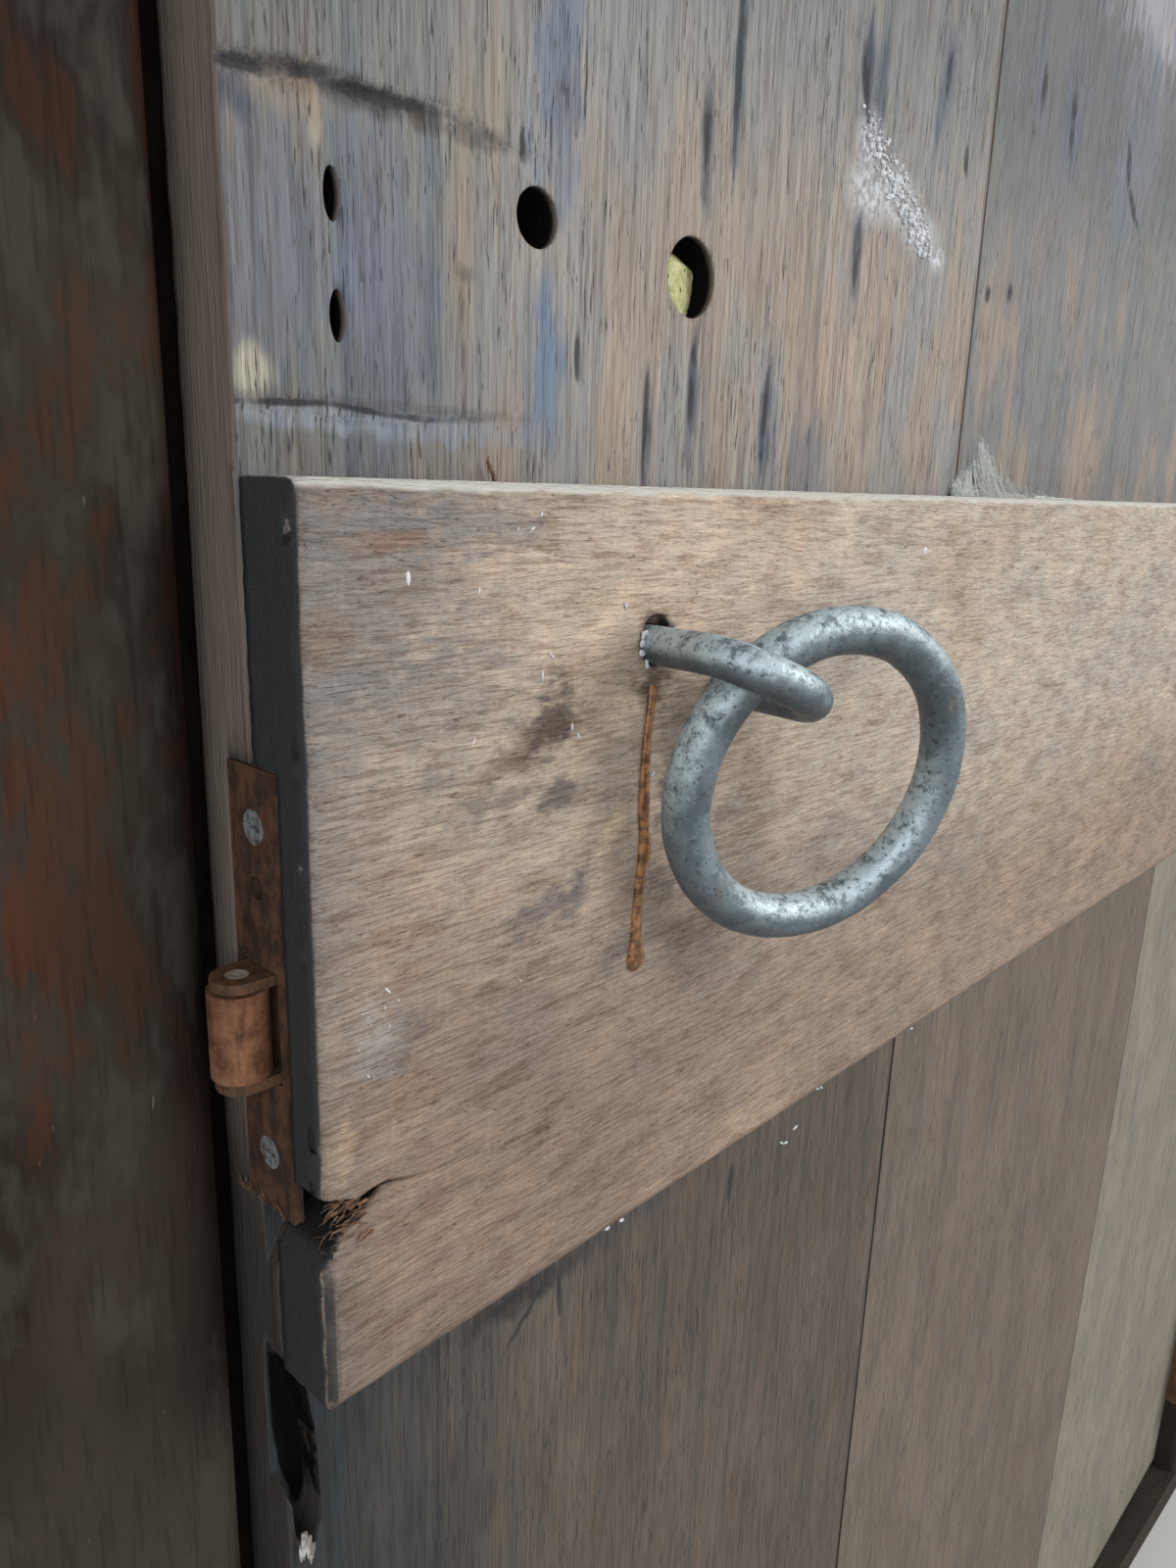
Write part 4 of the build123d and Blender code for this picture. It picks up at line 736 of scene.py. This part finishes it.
def carve_board(x, y, z):
    """Board with the catch: weathered grain, cracks, a split-off layer and a worn edge."""
    deep = 0.0
    if y < 0.01:
        deep += 0.16 * (1 + rough(x / 1.6, 0, z / 38)) + 0.22 * (1 + rough(x / 18, 0, z / 90, 5))
        for points, half, depth in BOARD_CRACKS:
            low = min(point[1] for point in points) - 6
            high = max(point[1] for point in points) + 6
            if not low < z < high:
                continue
            wander = 0.9 * rough(x / 5, 0, z / 7, points[0][0])
            far, where = near_line(points, x, z + wander if len(points) > 2 else z)
            taper = min(1.0, 4 * where + 0.35, 4 * (1 - where) + 0.35)
            deep += 0.5 * depth * taper * hump(far, half + 0.6)
        # A layer has split off between the long crack and the step above the ledge
        if x < 84:
            edge = 13.6 + 1.1 * rough(x / 6, 0, 0.3) - 1.2 * sin(x / 20)
            deep += 0.6 * share((edge - z) / 1.6) * share((84 - x) / 30)
            lip = 72 + 1.5 * sin(x / 18)
            deep += 0.7 * share((lip - z) / 1.2) * exp(-max(0.0, lip - z) / 14) * min(1.0, (84 - x) / 20)
        if x < 3.0:
            deep += (3.0 - max(x, 0)) ** 2 * 0.13 * (1 + 0.8 * rough(0.5, 0, z / 9))
    inset = 0.0
    if x < 0.01 and z < 560:
        inset += 0.25 * (1 + rough(y / 1.5, 0, z / 30, 9)) + 0.18 * (1 + rough(y / 6, 0, z / 5, 2))
        if y > 20:
            inset += (y - 20) * 0.12 * (1.4 + rough(0, 0, z / 12, 4))
    return Vector((x + inset, y + deep, z))


def carve_ledge(x, y, z):
    """Ledge: flowing grain, torn fibres at the break, ragged arrises."""
    deep, inset, lift = 0.0, 0.0, 0.0
    front = y < -18.4
    # The far stretch of the crack is closed to a hair's width
    middle = -154.65 - (x - 17.5) * 0.087 if x < 33 else -156.0 - (x - 33) * 0.1235
    if 20 < x < 68 and y < -11 and abs(z - middle) < 0.8:
        lift -= (z - middle) * 0.92 * min(1.0, (x - 20) / 7)
    if front and LEDGE_FOOT + 0.01 < z < -0.01:
        deep += 0.13 * (1 + rough(x / 45, 0, z / 1.7 + x / 28)) + 0.30 * (1 + rough(x / 70, 0, z / 22, 3))
        dent = rough(x / 9, 0, z / 5, 12)
        deep += 0.35 * max(0.0, dent - 0.35)
        far, where = near_line([(10, -154.9), (19, -154.6), (32, -155.3)], x, z)
        deep += 1.2 * (1 - 0.8 * where) * hump(far, 0.8)
        far, _ = near_line([(2, -150), (14, -152.5), (20, -154.5)], x, z)
        deep += hump(far, 5.5) * 0.9 * (1 + rough(x / 7, 0, z / 0.9, 7))
        far, _ = near_line([(3, -166), (9, -160), (18, -156)], x, z)
        deep += hump(far, 5) * 1.3 * (1 + rough(x / 6, 0, z / 1.1, 17))
        if x < 3.2:
            deep += (3.2 - max(x, 0)) ** 2 * 0.10 * (1.1 + rough(0.5, 0, z / 5, 6))
        if z < LEDGE_FOOT + 5:
            deep += (LEDGE_FOOT + 5 - z) ** 2 * 0.035 * (1.2 + rough(x / 8, 0, 0, 8))
    if x < 0.01:
        inset += 0.22 * (1 + rough(y / 3, 0, z / 3.2, 9))
        if z < -150:
            inset += 0.35 * (1 + rough(y / 2.2, 0, z / 7, 3))
    if z > -0.5 and x < 40:
        lift -= 0.12 * (40 - x) / 40 * (1 + rough(x / 6, y / 6, 0, 3))
        if x < 3 and front:
            lift -= 0.8 * (3 - x) / 3
    return Vector((x + inset, y + deep, z + lift))


# Cuts along x, y and z, closest where the camera is near
BOARD_CUTS = (
    steps((0, 160, 1.25), (160, BOARD_JOINT, 4)),
    steps((2.5, 22.5, 2.5)),
    steps((-440, LEDGE_FOOT, 5), (LEDGE_FOOT, 0, 20), (0, 20, 1.0), (20, 62, 3), (62, 80, 1.0), (80, 176, 4)),
)
LEDGE_CUTS = (
    steps((0, 40, 1.25), (40, 330, 5), (330, 980, 30)),
    steps((LEDGE_FACE, 0, 2.05)),
    steps((LEDGE_FOOT, -172, 1.6), (-172, -144, 0.9), (-144, 0, 1.6)),
)
FILLER_CUTS = (steps((125, 145, 1.2)), (), steps((44, 64, 1.2)))
NO_CUTS = ((), (), ())
relief("board_latch", "board_latch_carved", BOARD_CUTS, carve_board, "leaf", "weathered_board")
relief("ledge_middle", "ledge_middle_carved", LEDGE_CUTS, carve_ledge, "leaf", "ledge_wood")


RING_REACH = -70.5     # y that the ring's front may not pass, so that it stays within the CAD's box


def uneven(place, size, seeds):
    """A vector that varies smoothly from place to place, one seed for each direction."""
    return Vector([rough(place.x / size, place.y / size, place.z / size, seed) for seed in seeds])


def carve_ring(x, y, z):
    """Forged bars are never quite even: slow swells and small hammer marks."""
    place = Vector((x, y, z))
    point = place + 0.30 * uneven(place, 16, (0, 40, 80)) + 0.14 * uneven(place, 5, (20, 60, 90))
    point.y = max(point.y, RING_REACH)
    return point


LEG_END = -23.0        # y where the staple's legs come out of the ledge


def carve_staple(x, y, z):
    """The same forging on the staple's bend alone; its legs stay true in their holes."""
    if y > LEG_END:
        return Vector((x, y, z))
    return Vector((x, y, z)).lerp(carve_ring(x, y, z), min(1.0, (LEG_END - y) / 5))


def carve_filler(x, y, z):
    """Filler smeared up the hole's near side, with a crumbly face; its back stays."""
    if y > 22.4:
        return Vector((x, y, z))
    face = 3.5 + 0.4 * max(0.0, x - 133) + 0.9 * max(0.0, z - 57) ** 1.2 - 0.5 * rough(x / 2.4, 0, z / 2.4)
    return Vector((x, min(face, 20), z))


def unchanged(x, y, z):
    return Vector((x, y, z))


relief("pull_ring", "pull_ring_forged", NO_CUTS, carve_ring, "ring", "forged_iron")
relief("ring_staple", "ring_staple_forged", NO_CUTS, carve_staple, "leaf", "forged_iron")

# The bowed strip behind the roller's carriage, which flattens against the case's back as the carriage slides
# in; here it is a plain copy with a mesh of its own
flexing = relief("catch_spring", "catch_spring_flexing", NO_CUTS, unchanged, "leaf", "rusty_steel")
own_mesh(flexing)
relief("hole_filler", "hole_filler_crumbly", FILLER_CUTS, carve_filler, "leaf", "filler")


# Small things left on the leaf: resin, dust, splinters and crumbs. The draws run in one order.
chance = Random(7)
LEDGE_SKIN = LEDGE_FACE + 0.15    # y for what lies on the ledge's face
BOARD_SKIN = 0.05                 # y for what lies on the boards
BREAK_FIBRES, EDGE_FIBRES = 90, 26
TUFT_FIBRES, TUFT_LITTER = 620, 240
PLASTER_GRAINS = 420


def between(low, high):
    """The next draw, between two values."""
    return chance.uniform(low, high)


def sweep(mesh, points, radii, sides=5, flat=1.0):
    """Adds a closed tapering bar through points; flat squeezes it across the boards."""
    points = [Vector(point) for point in points]
    rings = []
    for index, point in enumerate(points):
        along = (points[min(index + 1, len(points) - 1)] - points[max(index - 1, 0)]).normalized()
        first = along.cross(Vector((0.31, 0.87, 0.38))).normalized()
        second = along.cross(first)
        ring = []
        for side in range(sides):
            turn = 2 * pi * side / sides
            offset = (first * cos(turn) + second * sin(turn)) * radii[index]
            offset.y *= flat
            ring.append(mesh.verts.new(point + offset))
        rings.append(ring)
    for low, high in zip(rings, rings[1:]):
        for side in range(sides):
            after = (side + 1) % sides
            mesh.faces.new((low[side], low[after], high[after], high[side]))
    mesh.faces.new(rings[0][::-1])
    mesh.faces.new(rings[-1])


def small_piece(mesh, name, material):
    """Turns a mesh in leaf millimetres into a piece that rides on the leaf."""
    bmesh.ops.recalc_face_normals(mesh, faces=mesh.faces[:])
    mesh.transform(leaf_matrix)
    piece = new_object(mesh, name, material, 50)
    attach(piece, "leaf")


def plain(name, dark, light, size, roughness, specular):
    """Two mottled tints, for a small thing."""
    edges = (0.38, 0.62)
    return mottled(name, dark, (dark, light), size, edges, 3, roughness, 0.0003, specular=specular)


def resin_run():
    """Resin that ran down from the staple and set, with a drop at its end."""
    line = [
        (101.5, -48.5, 1.0), (101.2, -52, 1.15), (100.6, -57, 1.05), (99.9, -64, 1.1), (99.7, -70, 1.25),
        (99.9, -76, 1.35), (99.9, -82, 1.45), (100.3, -87, 1.3), (100.6, -90.5, 1.55), (100.9, -93, 1.9),
        (100.2, -96, 1.45), (99.4, -100, 1.15), (99.0, -106, 1.25), (98.7, -112, 1.4), (98.7, -117, 1.6),
        (98.8, -120, 2.1), (98.9, -122.6, 2.5), (98.9, -124.6, 2.1), (98.9, -126, 1.1),
    ]
    mesh = bmesh.new()
    radii = [radius * 1.3 for _, _, radius in line]
    sweep(mesh, [(x, LEDGE_SKIN, z) for x, z, _ in line], radii, 14, 0.62)
    resin = plain("resin", (0.10, 0.040, 0.014), (0.34, 0.155, 0.055), 3.0, 0.28, 0.55)
    small_piece(mesh, "resin_run", resin)


def dust_tuft():
    """Cobweb and dust in the corner between the ledge's top and the boards."""
    mesh = bmesh.new()
    for _ in range(TUFT_FIBRES):
        peak = 315 + between(-3, 3)
        foot = 294 + 100 * between(0, 1) ** 1.9
        width = 13 if foot < peak else 32
        high = 25 * exp(-abs(foot - peak) / width) * between(0.1, 1.0) + 0.4
        reach = between(1.0, 9.0) * (0.25 + high / 25)
        lean = (peak - foot) * between(0.0, 0.45)
        sway, phase = between(0.3, 1.4), between(0, 6)
        points = []
        for index in range(7):
            along = index / 6
            across = foot + lean * along + sway * sin(4 * along + phase)
            points.append((across, -0.2 - reach * (1 - along) ** 1.4, 0.15 + high * along ** 0.9))
        sweep(mesh, points, [between(0.05, 0.11)] * 7, 3)
    for _ in range(TUFT_LITTER):
        x = between(296, 392)
        rise = between(0, 2.6) * (1 - (x - 296) / 110)
        long = between(2, 6)
        depth = between(0.2, 3.0)
        sweep(mesh, [(x + long * k, -depth, 0.15 + rise * (0.3 + 0.3 * k)) for k in range(4)], [0.09] * 4, 3)
    dust = plain("dust", (0.56, 0.59, 0.55), (0.72, 0.75, 0.71), 4.0, 0.9, 0.1)
    small_piece(mesh, "dust_tuft", dust)


def splinters():
    """Torn fibres in the ledge's break and at the plate's foot, and one beside the chip."""
    mesh = bmesh.new()
    for _ in range(BREAK_FIBRES):
        x, z = between(6, 13.5), between(-164, -153.8)
        y = between(-19.8, -13.5)
        long = between(1.5, 5.5)
        drop, out = between(-0.7, 0.3), between(-0.2, 0.15)
        points = []
        for k in range(4):
            along = long * k / 3
            depth = max(y + out * along + 0.3 * between(-1, 1) * k, -20.3)
            points.append((x - along, depth, z + drop * along))
        thick = between(0.15, 0.42)
        sweep(mesh, points, [thick, thick * 0.9, thick * 0.55, 0.04], 4)
    for _ in range(EDGE_FIBRES):
        y = between(-4, 14)
        z = -161.8 + between(-1.2, 1.2)
        long = between(1.2, 4.0)
        points = [(0.3 - 0.35 * k, y + 0.25 * between(-1, 1) * k, z + long * k / 3) for k in range(4)]
        thick = between(0.1, 0.28)
        sweep(mesh, points, [thick, thick * 0.8, thick * 0.5, 0.03], 4)
    upright = [(64.5, -1.2, 0.2), (63.6, -1.2, 2.4), (62.4, -1.0, 4.4), (62.9, -0.8, 5.8)]
    sweep(mesh, upright, [0.55, 0.5, 0.4, 0.08], 4)
    torn = plain("torn_wood", (0.075, 0.046, 0.030), (0.24, 0.14, 0.082), 2.6, 0.8, 0.2)
    small_piece(mesh, "splinters", torn)


def hollow_chips():
    """Pale chips at the foot of the torn hollow in the board's edge."""
    mesh = bmesh.new()
    for x0, z0, long in ((3.6, -257, 9.0), (4.8, -259, 7.0), (2.8, -260, 5.0), (5.6, -262, 6.0)):
        points = [(x0 - 0.4 * k, -0.3 - 0.45 * k, z0 - long * k / 4) for k in range(4)]
        sweep(mesh, points, [0.9, 1.0, 0.7, 0.1], 5, 0.6)
    chipped = plain("chipped_wood", (0.15, 0.14, 0.13), (0.40, 0.39, 0.38), 3.0, 0.8, 0.2)
    small_piece(mesh, "hollow_chips", chipped)


# Pale flakes on the ledge: x and z of the middle, half width and half height
WHITE_SPECKS = [
    (43.4, -22.3, 0.5, 1.8), (90.3, -28, 0.5, 2.0), (54.4, -9.7, 0.4, 1.3), (58.8, -9.7, 0.4, 1.5),
    (72.7, -55.6, 0.6, 2.2), (75.1, -58.3, 0.7, 2.4), (41.9, -54.9, 0.5, 2.3), (65.6, -38.2, 0.6, 2.6),
    (62.6, -42.4, 0.6, 2.6), (61.4, -6.6, 0.5, 1.5), (103.4, -72.2, 0.9, 2.2), (18, -106, 0.7, 2.4),
    (25, -19, 1.0, 2.6), (131, -97, 0.8, 1.6), (57, -116, 0.5, 1.8), (240, -18, 2.0, 3.2),
]


def crumbs():
    """Splashed plaster and small pale flakes on the boards and the ledge."""
    mesh = bmesh.new()

    def flake(x, y, z, wide, high, thick):
        """Adds a flat seven-sided crumb that stands thick before the place."""
        turn = between(-0.8, 0.8)
        middle = Vector((x, y, z))
        rim = []
        for side in range(7):
            angle = 2 * pi * side / 7
            far = between(0.6, 1.15)
            across, up = wide * far * cos(angle), high * far * sin(angle)
            rim.append((across * cos(turn) - up * sin(turn), across * sin(turn) + up * cos(turn)))
        low = [mesh.verts.new(middle + Vector((a, 0.12, b))) for a, b in rim]
        top = []
        for a, b in rim:
            top.append(mesh.verts.new(middle + Vector((a * 0.6, -thick * between(0.7, 1.1), b * 0.6))))
        for side in range(7):
            after = (side + 1) % 7
            mesh.faces.new((low[side], low[after], top[after], top[side]))
        mesh.faces.new(low[::-1])
        mesh.faces.new(top)

    for _ in range(PLASTER_GRAINS):
        down = between(0, 1) ** 0.75
        x = 214 + 44 * down + between(-1, 1) * (3 + 15 * down * (1.15 - down))
        z = 110 - 31 * down + between(-4, 4)
        size = 0.25 + 0.9 * between(0, 1) ** 3
        flake(x, BOARD_SKIN, z, size * 1.3, size, 0.15 + 0.35 * size)
    for x, z, half_x, half_z in WHITE_SPECKS:
        flake(x, -20.15, z, half_x * 0.6, half_z * 0.6, 0.2)
    for _ in range(14):
        x, z = 97.3 + between(-1.6, 1.6), -38.5 + between(-5, 4)
        flake(x, -20.4, z, between(0.5, 1.1), between(0.5, 1.3), 0.5)
    for _ in range(9):
        flake(between(9, 21), -20.15, between(-126, -105), between(0.15, 0.4), between(0.2, 0.6), 0.15)
    for x, z in ((201.5, -203.2), (204, -203.8), (269.8, -204), (92, -203.5), (98, -203.9)):
        flake(x, -20.2, z, 1.1, 0.45, 0.4)
    for x, z in ((214, -240), (217, -241), (223, -237)):
        flake(x, BOARD_SKIN, z, 1.8, 0.5, 0.3)
    plaster = plain("plaster_crumbs", (0.50, 0.52, 0.54), (0.72, 0.73, 0.76), 2.0, 0.9, 0.15)
    small_piece(mesh, "crumbs", plaster)


resin_run()
dust_tuft()
splinters()
hollow_chips()
crumbs()


# Floor
FLOOR_SIZE = 12
bpy.ops.mesh.primitive_plane_add(size=FLOOR_SIZE, location=(0, 0, 0))
floor = bpy.context.object
floor.name = "floor"
floor_shader = Shader("floor", (0.63, 0.62, 0.59))
dust = floor_shader.noise((160, 160, 160), 4)
floor.data.materials.append(floor_shader.finish(
    floor_shader.mix(dust, (0.60, 0.59, 0.56), (0.66, 0.65, 0.62)), 0.85, dust, specular=0.2
))

# Camera, at the photograph's place and angle beside the leaf
right = leaf_turn @ Vector((0.689792, -0.723443, 0.028594))
up = leaf_turn @ Vector((0.167379, 0.197770, 0.965853))
back = leaf_turn @ Vector((-0.704394, -0.661451, 0.257509))
eye = leaf_place((-113.219, -200.366, -0.502))
camera = bpy.data.objects.new("camera", bpy.data.cameras.new("camera"))
bpy.context.scene.collection.objects.link(camera)
camera.matrix_world = Matrix((
    (right.x, up.x, back.x, eye.x),
    (right.y, up.y, back.y, eye.y),
    (right.z, up.z, back.z, eye.z),
    (0, 0, 0, 1),
))
camera.data.sensor_width = 36
camera.data.lens = 25.583      # solved from the photograph's vanishing lines
camera.data.clip_start = 0.01
bpy.context.scene.camera = camera


def area_light(name, place, target, size, power, tint):
    """A rectangular light of size metres and power watts at a place, turned to a target."""
    light = bpy.data.objects.new(name, bpy.data.lights.new(name, "AREA"))
    bpy.context.scene.collection.objects.link(light)
    light.data.shape = "RECTANGLE"
    light.data.size, light.data.size_y = size
    light.data.energy = power
    light.data.color = tint
    light.location = place
    light.rotation_euler = (Vector(target) - Vector(place)).to_track_quat("-Z", "Y").to_euler()


area_light("window", (1.6, -2.4, 2.2), (-0.2, 0, 1.0), (1.8, 2.2), 86, (1.0, 0.98, 0.95))
area_light("fill", (-2.2, -2.0, 1.6), (-0.3, 0, 0.9), (2.0, 2.0), 34, (0.95, 0.97, 1.0))

# Plain pale surroundings, seen by the camera and in reflections alone
world = bpy.data.worlds.new("surroundings")
bpy.context.scene.world = world
world.use_nodes = True
tree = world.node_tree
tree.nodes.clear()
seen = tree.nodes.new("ShaderNodeBackground")
seen.inputs["Color"].default_value = (0.62, 0.61, 0.60, 1)
lit = tree.nodes.new("ShaderNodeBackground")
lit.inputs["Color"].default_value = (0.75, 0.78, 0.82, 1)
lit.inputs["Strength"].default_value = 0.45
rays = tree.nodes.new("ShaderNodeLightPath")
straight = rays.outputs["Is Camera Ray"]
for kind in ("Is Transmission Ray", "Is Glossy Ray"):
    larger = tree.nodes.new("ShaderNodeMath")
    larger.operation = "MAXIMUM"
    tree.links.new(straight, larger.inputs[0])
    tree.links.new(rays.outputs[kind], larger.inputs[1])
    straight = larger.outputs[0]
choose = tree.nodes.new("ShaderNodeMixShader")
tree.links.new(straight, choose.inputs[0])
tree.links.new(lit.outputs[0], choose.inputs[1])
tree.links.new(seen.outputs[0], choose.inputs[2])
out = tree.nodes.new("ShaderNodeOutputWorld")
tree.links.new(choose.outputs[0], out.inputs[0])

bpy.context.scene.view_settings.view_transform = "Standard"
